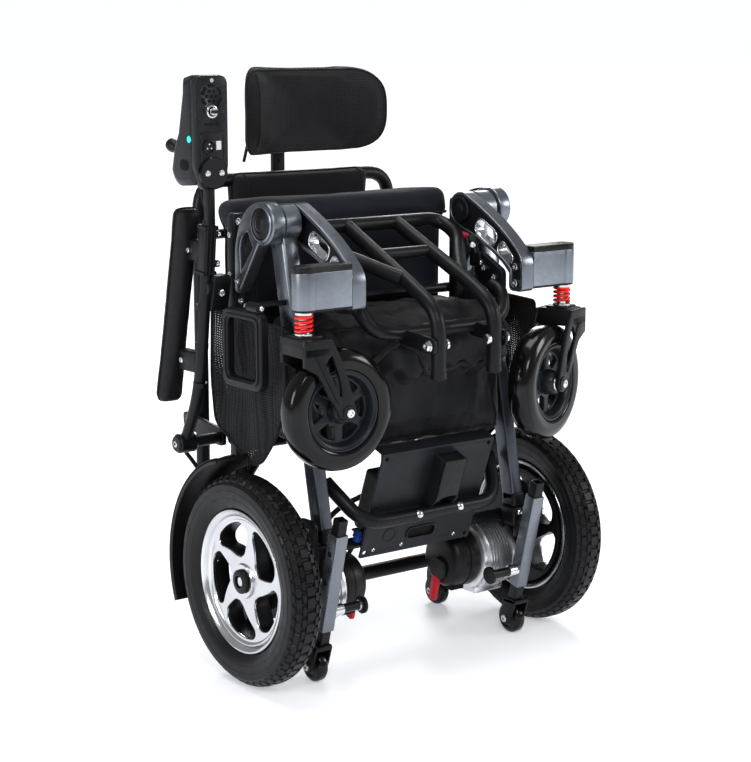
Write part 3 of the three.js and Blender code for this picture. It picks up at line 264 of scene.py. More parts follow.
def rounded(corners, radius=0.0, steps=6):
    """A closed outline through corners; a corner's third number is its own rounding."""
    points = []
    for i, corner in enumerate(corners):
        here = Vector(corner[:2])
        size = corner[2] if len(corner) > 2 else radius
        ends = []
        for other in (corners[i - 1], corners[(i + 1) % len(corners)]):
            run = Vector(other[:2]) - here
            ends.append(here + run.normalized() * min(size, run.length * 0.48))
        if size:
            points += [tuple(ends[0])] + curve_to(ends[0], here, ends[1], steps)
        else:
            points.append(tuple(here))
    return points


def slab(across, up, half_across, half_up, radius):
    """A rounded rectangle about a centre."""
    signs = ((-1, -1), (1, -1), (1, 1), (-1, 1))
    corners = [(across + i * half_across, up + j * half_up) for i, j in signs]
    return rounded(corners, radius)


def turned_outline(points, degrees, across, up):
    """An outline turned about the origin, then shifted."""
    turn = Matrix.Rotation(math.radians(degrees), 2)
    return [tuple(turn @ Vector(p) + Vector((across, up))) for p in points]


def flat(outline, low, high, plane="x", holes=(), edge=1.0, rounds=2):
    """A plate with rounded edges. Its outline lies in (y, z), (x, z) or (x, y) for plane x, y or z."""
    curve = bpy.data.curves.new("outline", "CURVE")
    curve.dimensions = "2D"
    curve.fill_mode = "BOTH"
    curve.extrude = (high - low) / 2 - edge
    curve.bevel_depth = edge
    curve.bevel_resolution = rounds
    curve.offset = -edge
    for loop in (outline, *holes):
        spline = curve.splines.new("POLY")
        spline.points.add(len(loop) - 1)
        for point, spot in zip(spline.points, loop):
            point.co = (spot[0], spot[1], 0, 1)
        spline.use_cyclic_u = True
    helper = bpy.data.objects.new("outline", curve)
    bpy.context.scene.collection.objects.link(helper)
    mesh = bpy.data.meshes.new_from_object(helper.evaluated_get(bpy.context.evaluated_depsgraph_get()))
    centre = (low + high) / 2
    order = {"x": (2, 0, 1), "y": (0, 2, 1), "z": (0, 1, 2)}[plane]
    shift = Vector([centre if axis == 2 else 0 for axis in order])
    spots = [Vector([v.co[axis] for axis in order]) + shift for v in mesh.vertices]
    faces = [tuple(p.vertices) for p in mesh.polygons]
    bpy.data.objects.remove(helper)
    bpy.data.curves.remove(curve)
    bpy.data.meshes.remove(mesh)
    return spots, faces


def turned(origin, axis, profile, sides=40, ring=False):
    """A turned shape. The profile lists (distance along the axis, radius)."""
    origin, axis = Vector(origin), Vector(axis).normalized()
    u = axis.orthogonal().normalized()
    v = axis.cross(u)
    spots, rings, faces = [], [], []
    for along, radius in profile:
        count = 1 if radius < 1e-6 else sides
        rings.append([len(spots) + k for k in range(count)])
        for k in range(count):
            t = 2 * math.pi * k / sides
            spots.append(origin + axis * along + (u * math.cos(t) + v * math.sin(t)) * radius)
    pairs = list(zip(rings, rings[1:])) + ([(rings[-1], rings[0])] if ring else [])
    for first, second in pairs:
        for k in range(sides):
            n = (k + 1) % sides
            if len(first) == 1 and len(second) > 1:
                faces.append((first[0], second[k], second[n]))
            elif len(second) == 1 and len(first) > 1:
                faces.append((first[k], second[0], first[n]))
            elif len(first) > 1:
                faces.append((first[k], second[k], second[n], first[n]))
    return spots, faces


def rod(start, end, radius, edge=0.8, sides=28):
    """A round bar with bevelled ends."""
    run = Vector(end) - Vector(start)
    length = run.length
    profile = [(0, 0), (0, radius - edge), (edge, radius), (length - edge, radius), (length, radius - edge),
               (length, 0)]
    return turned(start, run, profile, sides)


def bolt(spot, axis, radius, height, sides=24):
    """A socket-head screw standing on a surface."""
    rim = radius * 0.52
    profile = [(-1, 0), (-1, radius), (height - 1, radius), (height, radius - 1), (height, rim),
               (height - 2, rim), (height - 2, 0)]
    return turned(spot, axis, profile, sides)


def bent(corners, bend=40, steps=8):
    """A path through corners, each rounded over a reach of bend."""
    points = [Vector(corners[0])]
    for before, here, after in zip(corners, corners[1:], corners[2:]):
        here = Vector(here)
        ends = []
        for other in (before, after):
            run = Vector(other) - here
            ends.append(here + run.normalized() * min(bend, run.length * 0.48))
        points += [ends[0]] + [Vector(p) for p in curve_to(ends[0], here, ends[1], steps)]
    return points + [Vector(corners[-1])]


def sweep(points, radius, sides=20, closed=False):
    """A round tube through points, with rounded ends."""
    count = len(points)
    tangents = []
    for i in range(count):
        after = points[(i + 1) % count] if closed else points[min(i + 1, count - 1)]
        before = points[i - 1] if closed or i else points[0]
        tangents.append((after - before).normalized())
    normal = tangents[0].orthogonal().normalized()
    spots, rings = [], []
    for i, (point, tangent) in enumerate(zip(points, tangents)):
        normal = (normal - tangent * normal.dot(tangent)).normalized()
        side = tangent.cross(normal)
        ring_list = [(0.0, radius)]
        if not closed and i == 0:
            ring_list = [(0.0, 0.0), (0.0, radius * 0.86), (radius * 0.1, radius)]
        if not closed and i == count - 1:
            ring_list = [(-radius * 0.1, radius), (0.0, radius * 0.86), (0.0, 0.0)]
        for along, size in ring_list:
            amount = 1 if size == 0 else sides
            rings.append([len(spots) + k for k in range(amount)])
            for k in range(amount):
                t = 2 * math.pi * k / sides
                spots.append(point + tangent * along + (normal * math.cos(t) + side * math.sin(t)) * size)
    faces = []
    for first, second in list(zip(rings, rings[1:])) + ([(rings[-1], rings[0])] if closed else []):
        for k in range(sides):
            n = (k + 1) % sides
            if len(first) == 1:
                faces.append((first[0], second[k], second[n]))
            elif len(second) == 1:
                faces.append((first[k], second[0], first[n]))
            else:
                faces.append((first[k], second[k], second[n], first[n]))
    return spots, faces


def tube(corners, radius, bend=40, sides=20):
    """A round tube along a bent path."""
    return sweep(bent(corners, bend), radius, sides)


def box(low, high, edge=2.0, segments=3):
    """A box between two corners, with rounded edges."""
    made = bmesh.new()
    bmesh.ops.create_cube(made, size=1.0)
    low, high = Vector(low), Vector(high)
    for vertex in made.verts:
        vertex.co = (low + high) / 2 + Vector([vertex.co[i] * (high - low)[i] for i in range(3)])
    if edge:
        bmesh.ops.bevel(made, geom=made.edges[:], offset=edge, segments=segments, profile=0.5,
                        affect="EDGES")
    made.verts.index_update()
    shape = ([v.co.copy() for v in made.verts], [tuple(v.index for v in f.verts) for f in made.faces])
    made.free()
    return shape


def moved(shape, matrix):
    """A shape put through a matrix."""
    return [matrix @ spot for spot in shape[0]], shape[1]


def flipped(shape):
    """A shape's mirror image in x."""
    return [Vector((-s.x, s.y, s.z)) for s in shape[0]], shape[1]


def laid(start, end):
    """The frame whose local z runs from start to end and whose local x stays level with the world's x."""
    start, end = Vector(start), Vector(end)
    up = (end - start).normalized()
    across = (X - up * up.x).normalized()
    turn = Matrix((across, up.cross(across), up)).transposed().to_4x4()
    return Matrix.Translation(start) @ turn


def beam(start, end, width, depth, edge=2.5):
    """A bar of rectangular section from start to end."""
    length = (Vector(end) - Vector(start)).length
    return moved(box((-width / 2, -depth / 2, 0), (width / 2, depth / 2, length), edge), laid(start, end))


class Piece:
    """One visible piece that gathers shapes, then rides on a body and stands for CAD nodes."""

    def __init__(self, name, body, slot, *nodes, sign=1):
        self.name, self.body, self.slot, self.nodes, self.sign = name, body, slot, nodes, sign
        self.spots, self.faces, self.looks, self.materials = [], [], [], []

    def put(self, material, *shapes):
        if material not in self.materials:
            self.materials.append(material)
        look = self.materials.index(material)
        for shape in shapes:
            made = bmesh.new()
            corners = [made.verts.new(spot) for spot in shape[0]]
            for face in shape[1]:
                try:
                    made.faces.new([corners[i] for i in face])
                except ValueError:
                    pass
            bmesh.ops.remove_doubles(made, verts=made.verts[:], dist=0.01)
            bmesh.ops.recalc_face_normals(made, faces=made.faces[:])
            if self.sign < 0:
                for vertex in made.verts:
                    vertex.co.x = -vertex.co.x
                bmesh.ops.reverse_faces(made, faces=made.faces[:])
            made.verts.index_update()
            start = len(self.spots)
            self.spots += [v.co.copy() for v in made.verts]
            for face in made.faces:
                self.faces.append([start + v.index for v in face.verts])
                self.looks.append(look)
            made.free()
        return self

    def both(self, material, *shapes):
        """Adds shapes and their mirror images."""
        return self.put(material, *shapes, *map(flipped, shapes))

    def done(self, sharp=38):
        """Makes the object. Edges sharper than this many degrees stay crisp."""
        mesh = bpy.data.meshes.new(self.name)
        mesh.from_pydata([place(*spot) for spot in self.spots], [], self.faces)
        for material in self.materials:
            mesh.materials.append(material)
        mesh.polygons.foreach_set("material_index", self.looks)
        mesh.polygons.foreach_set("use_smooth", [True] * len(mesh.polygons))
        mesh.set_sharp_from_angle(angle=math.radians(sharp))
        obj = bpy.data.objects.new(self.name, mesh)
        bpy.context.scene.collection.objects.link(obj)
        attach(obj, self.body)
        if self.nodes:
            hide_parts(*self.nodes)
        return obj


# ------------------------------------------------------------------ front frame and casters
KNUCKLE = (30, 683)  # the fold axis in (y, z)
ARM, STRUT, CASTING = (149, 173), (177, 197), (206, 228)  # where each layer at the knuckle lies in x
STEM = (247, -103)  # the caster's swivel axis in (x, y)
FOOTREST_PIVOT = (-167, 512)
CASTER_TURNS = {"left": -70, "right": 88}  # degrees each caster has swung from straight ahead


def arm_outline(inset):
    """A front arm seen from the side, drawn in by inset."""
    hub, front, foot = 28 - inset, -120 + inset, 567 + inset
    points = arc(*KNUCKLE, hub, -65, 115, 24)
    points += curve_to(points[-1], (-58, 676 - inset), (-104, 634 - inset), 14)
    points += curve_to(points[-1], (front, 622), (front, 604), 6)
    rear = -88 - inset
    points += rounded([(front, 604, 0), (front, foot), (rear, foot), (rear, 604, 0)], 10)[1:-1]
    points.append((rear, 594 + inset))
    points += curve_to(points[-1], (-58, 626 + inset), (24, 650 + inset), 14)
    return points


def arm_window(number, grow):
    """One of the two slots in the arm's web, grown on every side."""
    across, up, length, height, tilt = ((-30, 652, 25, 12, 27), (-76, 623, 18, 9, 42))[number]
    return turned_outline(slab(0, 0, length + grow, height + grow, height + grow), tilt, across, up)


def make_arm(side, sign):
    """A front arm: a cast rim round a dark inner plate with two framed slots, and the cap on its pivot."""
    windows = [arm_window(number, 1.5) for number in (0, 1)]
    piece = Piece(side + "_arm", "front_frame", "cast_grey", side + "_front_arm", sign=sign)
    piece.put(CAST, flat(arm_outline(0), *ARM, holes=[arm_outline(6)], edge=1.6, rounds=3))
    piece.put(BLACK, flat(arm_outline(5), ARM[0] + 3, ARM[1] - 6, holes=windows, edge=0.6))
    for number in (0, 1):
        collar = flat(arm_window(number, 3), ARM[0] + 1.5, ARM[1] - 4, holes=[arm_window(number, 0.3)],
                      edge=1.2)
        piece.put(STEEL, collar)
    cap = [(0, 0), (0, 21), (4.5, 21), (6.5, 19), (6.5, 0)]
    piece.put(BLACK, turned((ARM[0] + 4, *KNUCKLE), -X, cap, 48))
    for up in (605, 580):
        piece.put(STEEL, bolt((ARM[0] + 3, -104, up), -X, 6, 6))
    piece.done()


def make_housing(side, sign):
    """The block that holds a caster's stem, with its plastic cap and lower bearing."""
    def outline(half, step):
        back, front, shoulder = STEM[1] + half, STEM[1] - half, STEM[0] - 7
        points = arc(*STEM, half, -90, 90, 24) + [(shoulder, back), (shoulder - 2, back - step)]
        points += [(ARM[1] + 0.6, back - step), (ARM[1] + 0.6, front + step)]
        return points + [(shoulder - 2, front + step), (shoulder, front)]

    piece = Piece(side + "_housing", "front_frame", "cast_grey", side + "_caster_housing", sign=sign)
    piece.put(CAST, flat(outline(18, 2.2), 574, 627, "z", edge=0.7),
              flat(outline(16.6, 1), 580, 620, "z", edge=0.5))
    piece.put(PLASTIC, flat(outline(17.6, 1.4), 626.4, 636, "z", edge=2, rounds=3))
    piece.put(PLASTIC, flat(outline(17, 1), 571, 574.6, "z", edge=0.6))
    piece.put(PLASTIC, bolt((STEM[0], STEM[1], 635), Z, 9, 1.6))
    bearing = [(-2, 8.6), (-2, 12), (-1, 13.4), (2, 13.4), (3, 14.4), (5, 14.4), (5, 8.6)]
    piece.put(STEEL, turned((*STEM, 568), Z, bearing, ring=True))
    piece.done()


def make_cross_tube():
    """The bent tube between the front arms, its gussets and the footrest's ears."""
    piece = Piece("cross_tube", "front_frame", "powder_black", "front_cross_tube")
    side = [(139, -60, 575), (139, -84, 566), (126, -101, 532), (84, -101, 523)]
    mirrored = [(-x, y, z) for x, y, z in side]
    piece.put(BLACK, tube(mirrored + side[::-1], 11, 30))
    gusset = rounded([(-84, 556), (-40, 552), (-18, 600), (-34, 622), (-84, 598)], 8)
    ear = rounded([(-179, 500), (-92, 507), (-92, 529), (-179, 524)], 10)
    piece.both(BLACK, flat(gusset, 139, 148.4))
    piece.both(BLACK, flat(ear, 65.5, 70.5, holes=[arc(*FOOTREST_PIVOT, 4.4, 0, 350, 20)]))
    for across, up in ((-66, 586), (-42, 598), (-50, 566)):
        piece.both(STEEL, bolt((139, across, up), -X, 5, 4))
    piece.done()


def tray(x, y):
    """A point on the sloping plane of the footrest's tray."""
    return (x, y, 588 + (667 - 588) / (66 + 112) * (y + 112))


def make_footrest():
    """The footrest, folded up: a looped tube on two legs, with end plugs and pivot pins."""
    piece = Piece("footrest", "footrest", "powder_black", "footrest_frame")
    leg = [(53, -167, 466), (53, -167, 545), (53, -150, 568), tray(53, -110), tray(48, 66)]
    loop = [tray(-56, -84), tray(-96, -30), tray(-134, 16), tray(-134, 66)]
    loop += [(-x, y, z) for x, y, z in loop[::-1]]
    piece.put(BLACK, tube(loop, 11, 30), tube([tray(-48, -18), tray(48, -18)], 9))
    piece.both(BLACK, tube(leg, 11, 28))
    piece.both(PLASTIC, rod((53, -167, 461), (53, -167, 474), 11.6, 2))
    piece.both(STEEL, turned((36, *FOOTREST_PIVOT), X, [(0, 0), (0, 6), (2, 8), (6, 8), (6, 0)]))
    for start, end, radius in ((41, 72, 4.2), (71.5, 73.5, 9)):
        piece.both(STEEL, rod((start, *FOOTREST_PIVOT), (end, *FOOTREST_PIVOT), radius))
    piece.both(STEEL, bolt((74, *FOOTREST_PIVOT), X, 7.5, 5, 6))
    piece.done()


FORK_TOP, TRAIL, CASTER_Z = 537, 55, 424


def make_caster(side, sign, turn):
    """A caster's fork, the spring on its stem, its tyre and its rim."""
    local = Matrix.Translation((sign * STEM[0], STEM[1], 0)) @ Matrix.Rotation(math.radians(turn), 4, "Z")

    def here(*shapes):
        return [moved(shape, local) for shape in shapes]

    fork = Piece(side + "_fork", side + "_caster_fork", "powder_black", side + "_caster_fork")
    crown = rounded([(-33.4, 508), (33.4, 508), (33.4, 524), (24, 535), (-24, 535), (-33.4, 524)], 3)
    lug = rounded([(-20, 520), (20, 520), (17, 538), (-17, 538)], 2)
    fork.put(BLACK, *here(flat(crown, -24, 20, "y", edge=2), flat(lug, -20, 16, "y", edge=1)))
    cheek = [(20, FORK_TOP - 3), (20, 496), (-2, 484), (-TRAIL + 13, CASTER_Z - 7)]
    cheek += arc(-TRAIL, CASTER_Z, 13.5, -28, -208, 18)
    cheek += curve_to(cheek[-1], (-48, 500), (-26, FORK_TOP - 3), 10)
    slot = rounded([(-10, 490), (-26, 512), (-41, 470), (-43, 446)], 7)
    plate = flat(cheek, 26, 33.4, holes=[slot], edge=1.8, rounds=3)
    rib = flat(rounded([(-8, 512), (4, 512), (-36, 438), (-43, 440)], 2), 31, 35.4, edge=1.4)
    fork.put(BLACK, *here(plate, flipped(plate), rib, flipped(rib)))
    spot = (0, -TRAIL, CASTER_Z)
    fork.put(STEEL, *here(rod((0, 0, 530), (0, 0, 607), 8), rod((-34, *spot[1:]), (34, *spot[1:]), 5)))
    fork.put(STEEL, *here(turned((0, 0, 537), Z, [(0, 0), (0, 14), (3, 14), (4, 13), (4, 0)])))
    for way in (1, -1):
        fork.put(BLACK, *here(rod((31 * way, *spot[1:]), (35.4 * way, *spot[1:]), 11)))
        fork.put(STEEL, *here(bolt((34.6 * way, *spot[1:]), X * way, 6.6, 4)))
    fork.done()

    coil = Piece(side + "_coil", side + "_suspension", "spring_red", side + "_caster_spring")
    turns, low, high, steps = 4.0, 543.8, 565.3, 140
    path = []
    for i in range(steps + 1):
        t = i / steps
        rise = min(max((t - 0.09) / 0.82, 0), 1)  # the end coils lie flat
        angle = 2 * math.pi * turns * t
        path.append(Vector((11.4 * math.cos(angle), 11.4 * math.sin(angle), low + (high - low) * rise)))
    coil.put(RED, *here(sweep(path, 2.55, 12)))
    shape = coil.done()
    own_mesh(shape)

    tyre = Piece(side + "_tyre", side + "_caster_wheel", "caster_rubber", side + "_caster_tyre")
    half = [(0, 90), (7, 89.6), (12, 88.2), (16, 85.6), (17, 84.2), (17.4, 84.6), (19.5, 81), (21.4, 76),
            (21.8, 71), (20.6, 66), (20.8, 64.6), (19, 61.4)]
    profile = [(-along, radius) for along, radius in half[::-1]] + half[1:]
    tyre.put(GLOSS, *here(turned(spot, X, profile, 96, ring=True)))
    tyre.done(50)

    rim = Piece(side + "_rim", side + "_caster_wheel", "caster_grey", side + "_caster_rim")
    barrel = [(-17, 60.6), (17, 60.6), (18.6, 59.6), (18.6, 57.6), (17, 56.4), (16, 53), (9, 49), (-9, 49)]
    barrel += [(-16, 53), (-17, 56.4), (-18.6, 57.6), (-18.6, 59.6)]
    windows = []
    for mid in range(0, 360, 60):
        window = arc(0, 0, 45, mid - 21, mid + 21, 8) + arc(0, 0, 25, mid + 14, mid - 14, 6)
        windows.append(rounded(window, 2, 2))
    disc = flat(arc(0, 0, 53, 0, 352, 44), -5, 5, holes=windows, edge=1.4)
    hub = [(-23.5, 6), (-23.5, 15), (-21, 17.5), (-8, 20), (8, 20), (21, 17.5), (23.5, 15), (23.5, 6)]
    disc = moved(disc, Matrix.Translation(spot))
    rim.put(HUB, *here(turned(spot, X, barrel, 96, ring=True), disc, turned(spot, X, hub, 48, ring=True)))
    for way in (1, -1):
        cap = [(0, 6), (0, 12), (1.4, 11), (1.4, 6)]
        rim.put(STEEL, *here(turned((23.4 * way, *spot[1:]), X * way, cap, 32, ring=True)))
    rim.done()


# ------------------------------------------------------------------ rear frame
STRUT_FOOT = (-63, 224)
STAY_PIN = (-26, 443)
HANDLE = (269, 568)
MOTOR = (0, 127)
REAR_CROSS, FRONT_CROSS = (92, 98), (-25, 192)
SIDE_PLATE = 206
SMALL_X, SMALL_FRONT, SMALL_REAR = 196, (-53, 25), (140, 25)


def make_strut(side, sign):
    """A rear strut from the knuckle down to the base. The right one also carries the side handle."""
    piece = Piece(side + "_strut_arm", "rear_frame", "cast_grey", side + "_strut", sign=sign)
    mid = sum(STRUT) / 2
    collar = [(0, 0), (0, 26.6), (1, 28), (27, 28), (28, 26.6), (28, 0)]
    piece.put(CAST, turned((ARM[1] + 2, *KNUCKLE), X, collar, 56))
    run = Vector(STRUT_FOOT) - Vector(KNUCKLE)

    def along(share, back=0.0):
        return KNUCKLE[0] + run.x * share + back, KNUCKLE[1] + run.y * share

    piece.put(CAST, beam((mid + 3, *along(0, 3)), (mid + 3, *along(0.43, 3)), 29, 34, 5))
    piece.put(SLATE, beam((mid, *along(0.4)), (mid, *along(1)), 22, 28, 4))
    piece.put(BLACK, rod((ARM[0] - 2, *KNUCKLE), (CASTING[1] + 1, *KNUCKLE), 9))
    dome = [(0, 0), (0, 11), (2, 11.6), (3.4, 9), (3.9, 5), (4, 0)]
    piece.put(DARK_CAST_AND_SHADE, turned((ARM[0] + 0.4, *KNUCKLE), -X, dome, 32))
    piece.put(STEEL, rod((STRUT[1] - 2, *STAY_PIN), (CASTING[0] - 1, *STAY_PIN), 4))
    piece.put(STEEL, bolt((STRUT[0] + 1, *STAY_PIN), -X, 7, 5, 6))
    y, z = along(0.24, -8)
    piece.put(STEEL, bolt((STRUT[1] + 4, y, z), X, 4, 3))
    foot = box((STRUT[0] - 1, STRUT_FOOT[0] - 15, STRUT_FOOT[1] - 8),
               (STRUT[1] + 1, STRUT_FOOT[0] + 15, STRUT_FOOT[1] + 14), 3)
    piece.put(BLACK, foot)
    if sign < 0:
        low = (mid, 3, HANDLE[1] - 4)
        piece.put(BLACK, box(low, (HANDLE[0] + 4, 10, HANDLE[1] + 4), 2))
        piece.put(STEEL, rod((HANDLE[0], 8, HANDLE[1]), (HANDLE[0], -27, HANDLE[1]), 3.4))
        piece.put(STEEL, bolt((HANDLE[0], 9, HANDLE[1]), Y, 5, 4, 6))
    piece.done()


def small_axle(spot):
    """The axle of a small wheel at spot in (y, z), with its head and nut."""
    left, right = (SMALL_X - 14.6, *spot), (SMALL_X + 14.6, *spot)
    return [rod((SMALL_X - 15, *spot), (SMALL_X + 15, *spot), 4), bolt(right, X, 6.5, 4),
            bolt(left, -X, 6.5, 4, 6)]


def make_base():
    """The base: side plates, forks for the transport wheels and two cross tubes."""
    piece = Piece("base", "rear_frame", "powder_black", "base_frame")
    plate = rounded([(-78, 252), (-34, 252), (30, 206), (104, 124), (112, 84), (60, 72), (-44, 96),
                     (-74, 180)], 14)
    fork = rounded([(80, 116), (108, 110), (150, 62), (149, 16), (131, 16), (118, 56), (76, 84)], 8)
    axle_hole = arc(0, TYRE_RADIUS, 14, 0, 350, 30)
    piece.both(BLACK, flat(plate, SIDE_PLATE, SIDE_PLATE + 6, holes=[axle_hole], edge=1.2))
    piece.both(BLACK, box((STRUT[0], -76, 184), (SIDE_PLATE + 1, -44, 214), 3))
    piece.both(BLACK, box((60, -46, 186), (84, -25, 190), 1))
    for low in (SMALL_X - 15, SMALL_X + 12):
        piece.both(BLACK, flat(fork, low, low + 3, edge=0.8))
    piece.both(BLACK, box((SMALL_X - 13, 84, 84), (SMALL_X + 13, 110, 112), 2))
    piece.both(STEEL, *small_axle(SMALL_REAR))
    for spot in ((-58, 236), (-60, 120), (88, 92), (30, 190)):
        piece.both(STEEL, bolt((SIDE_PLATE + 5.6, *spot), X, 5, 3.4))
    piece.both(STEEL, *[bolt((188, -76.5, z), -Y, 5, 4) for z in (192, 206)])
    end = SIDE_PLATE + 1
    piece.put(BLACK, rod((-end, *REAR_CROSS), (end, *REAR_CROSS), 12),
              rod((-end, *FRONT_CROSS), (end, *FRONT_CROSS), 9))
    piece.done()


PLATE_TOP, PLATE_BOTTOM = Vector((-107, 345)), Vector((-45, 172))
PLATE_RUN = PLATE_TOP - PLATE_BOTTOM
PLATE_HALF = 108


def on_plate(*shapes):
    """Shapes made about the origin, moved onto the sloping controller plate."""
    centre = (PLATE_TOP + PLATE_BOTTOM) / 2
    tilt = math.atan2(-PLATE_RUN.x, PLATE_RUN.y)
    matrix = Matrix.Translation((0, *centre)) @ Matrix.Rotation(tilt, 4, "X")
    return [moved(shape, matrix) for shape in shapes]


def make_plate():
    """The sloping controller plate with its flanges, raised cover, slot and screws."""
    half = PLATE_RUN.length / 2
    edge = PLATE_HALF - 9
    piece = Piece("plate", "rear_frame", "powder_grey", "controller_plate")
    holes = [slab(x, z, 3.4, 3.4, 3.4) for x in (-edge, edge) for z in (9 - half, half - 9)]
    holes.append(slab(4, -62, 27, 9.5, 9.5))
    piece.put(PLATE, *on_plate(flat(slab(0, 0, PLATE_HALF, half, 4), 0, 3, "y", holes, 0.7)))
    piece.put(PLATE, *on_plate(box((-PLATE_HALF, 0.5, half - 3), (PLATE_HALF, 26, half), 1)))
    piece.put(PLATE, *on_plate(box((-96, 2.5, 22 - half), (96, 46, 25 - half), 1)))
    top = half - 14
    cheek = [(1, top), (-26, top), (-26, 12), *curve_to((-26, 12), (-23, -8), (1, -22), 10)]
    for x in (-6, 35):
        piece.put(PLATE, *on_plate(flat(cheek, x, x + 3, edge=0.8)))
    face = [(-6, top), (-6, 6), *curve_to((-6, 6), (16, 18), (38, 12), 8), (38, top)]
    piece.put(PLATE, *on_plate(flat(face, -26, -23.4, "y", edge=0.8)))
    # Near-black boxes in the mouth of the plug's housing and behind the slot: painted shade.
    piece.put(RECESS_SHADE, *on_plate(box((-3, -22, top - 6), (35, -3, top - 2), 0.5)))
    recess = slab(4, -62, 29, 11.5, 11.5)
    piece.put(RECESS_SHADE, *on_plate(box((-24, 2.2, -74), (32, 6, -50), 0.6)))
    piece.put(BLACK, *on_plate(flat(recess, -1.5, 1, "y", [slab(4, -62, 26, 8.5, 8.5)], 0.7)))
    dish = [(0, 0), (0, 13), (1.2, 12.4), (1.2, 10.6), (0.2, 10), (0.2, 0)]
    piece.put(BLACK, *on_plate(turned((-58, 0.6, -58), -Y, dish, 40)))
    for x, z in ((-edge, 0), (edge, 0), (-84, -80), (-30, -80), (74, -80), (30, 4)):
        piece.put(STEEL if z == -80 else BLACK, *on_plate(bolt((x, 0.4, z), -Y, 3, 2)))
    piece.done()


def make_bumper():
    """The bent tube in front of the controller plate."""
    piece = Piece("bumper", "rear_frame", "powder_black", "bumper_tube")
    side = [(160, -30, 298), (128, -86, 238)]
    piece.put(BLACK, tube([(-x, y, z) for x, y, z in side] + side[::-1], 11, 36))
    for x in (-30, 50):
        dome = [(0, 0), (0, 6.4), (2, 6), (3.6, 4), (4.4, 0)]
        piece.put(STEEL, turned((x, -95.4, 241), (0, -0.93, 0.36), dome, 28))
    piece.done()


def make_motor(side, sign):
    """A drive motor: its end cover, finned body, blocks and axle."""
    piece = Piece(side + "_motor", "rear_frame", "motor_silver", side + "_drive_motor", sign=sign)
    cover = [(0, 0), (0, 34), (1.5, 38), (5, 42), (10, 45), (26, 46), (27, 45), (29, 45), (30, 47),
             (44, 47.4), (48, 46), (48, 0)]
    piece.put(PLASTIC, turned((87, *MOTOR), X, cover, 64))
    fins = [(0, 0), (0, 50), (2, 54), (8, 55)]
    for i in range(8):
        start = 11 + i * 5.6
        fins += [(start, 53.4), (start + 0.5, 58), (start + 2.8, 58), (start + 3.4, 53.4)]
    fins += [(58, 55), (70, 55), (70.4, 0)]
    piece.put(SILVER_PAINTED_LIGHT, turned((135, *MOTOR), X, fins, 72))
    piece.put(SILVER_PAINTED_LIGHT, box((140, -26, 66), (200, 26, 80), 4), box((150, -14, 172), (198, 14, 190), 4))
    piece.put(STEEL, rod((204, 0, TYRE_RADIUS), (292, 0, TYRE_RADIUS), 9))
    # A near-black patch under the end cover: painted shade in an opening.
    piece.put(RECESS_SHADE, box((96, -20, 78), (122, -4, 88), 2))
    piece.done()


def make_lever(side, sign):
    """The red lever that frees a drive motor."""
    piece = Piece(side + "_lever", side + "_clutch_lever", "lever_red", side + "_clutch_lever", sign=sign)
    blade = rounded([(-6, 100), (9, 103), (19, 62), (5, 58)], 4)
    piece.put(LEVER, flat(blade, 79, 86.4, edge=1.6, rounds=3))
    piece.put(LEVER, flat(rounded([(-1, 92), (7, 94), (13, 68), (7, 66)], 3), 78, 80, edge=0.6))
    piece.put(PLASTIC, turned((86.6, -1, 114), -X, [(0, 0), (0, 19), (4, 19), (6.4, 17), (6.4, 0)], 48))
    piece.done()


def make_fender(side, sign):
    """The mudguard over a drive wheel, and its bracket."""
    piece = Piece(side + "_mudguard", "rear_frame", "black_plastic", side + "_fender", sign=sign)
    low, high = -22, 75

    def band(inner, outer):
        return arc(0, TYRE_RADIUS, outer, low, high, 40) + arc(0, TYRE_RADIUS, inner, high, low, 40)

    piece.put(PLASTIC, flat(band(182, 186), 245, 303, edge=1), flat(band(168, 186), 245, 248, edge=0.8))
    piece.put(PLASTIC, flat(band(178, 186.6), 300, 303, edge=1), flat(band(184, 188), 268, 280, edge=1))
    piece.put(BLACK, box((212.4, 84, 92), (217, 104, 118), 1), box((215, 88, 98), (246, 100, 112), 1.5))
    piece.put(BLACK, box((242.5, 88, 98), (248.5, 174, 112), 1.5))
    piece.put(STEEL, bolt((248, 168, 105), X, 4.5, 3), bolt((217, 94, 105), X, 4.5, 3))
    piece.done()


SLEEVE_TOP, SLEEVE_BOTTOM = Vector((192, -109, 239)), Vector((192, -71, 85))
SLEEVE_RUN = (SLEEVE_BOTTOM - SLEEVE_TOP).normalized()


def square_tube(start, end, outer, wall, edge):
    """A hollow square tube from start to end."""
    length = (end - start).length
    ring = flat(slab(0, 0, outer, outer, 2.5), 0, length, "z", [slab(0, 0, outer - wall, outer - wall, 1)],
                edge)
    return moved(ring, laid(start, end))


def make_sleeve(side, sign):
    """The fixed square sleeve round an anti-tip tube."""
    piece = Piece(side + "_sleeve", "rear_frame", "cast_grey", side + "_anti_tip_sleeve", sign=sign)
    piece.put(CAST, square_tube(SLEEVE_TOP, SLEEVE_BOTTOM, 11, 2, 0.7))
    length = (SLEEVE_BOTTOM - SLEEVE_TOP).length
    _, y, z = SLEEVE_TOP + SLEEVE_RUN * (length - 28)
    flange = [(0, 0), (0, 12), (1.5, 14), (5, 14), (6, 13), (6, 0)]
    piece.put(BLACK, rod((182, y, z), (128, y, z), 7), turned((130, y, z), -X, flange, 40))
    piece.put(STEEL, rod((182, y, z), (164, y, z), 9.5), rod((134, y, z), (129, y, z), 8))
    for share in (0.2, 0.5):
        spot = SLEEVE_TOP + SLEEVE_RUN * (length * share)
        piece.put(DARK_CAST_AND_SHADE, rod((202, spot.y, spot.z), (204.2, spot.y, spot.z), 4.4))
    base = SLEEVE_TOP + SLEEVE_RUN * 60
    piece.put(BLACK, box((181.5, base.y + 9, base.z - 16), (202.5, base.y + 26, base.z + 16), 2))
    piece.done()


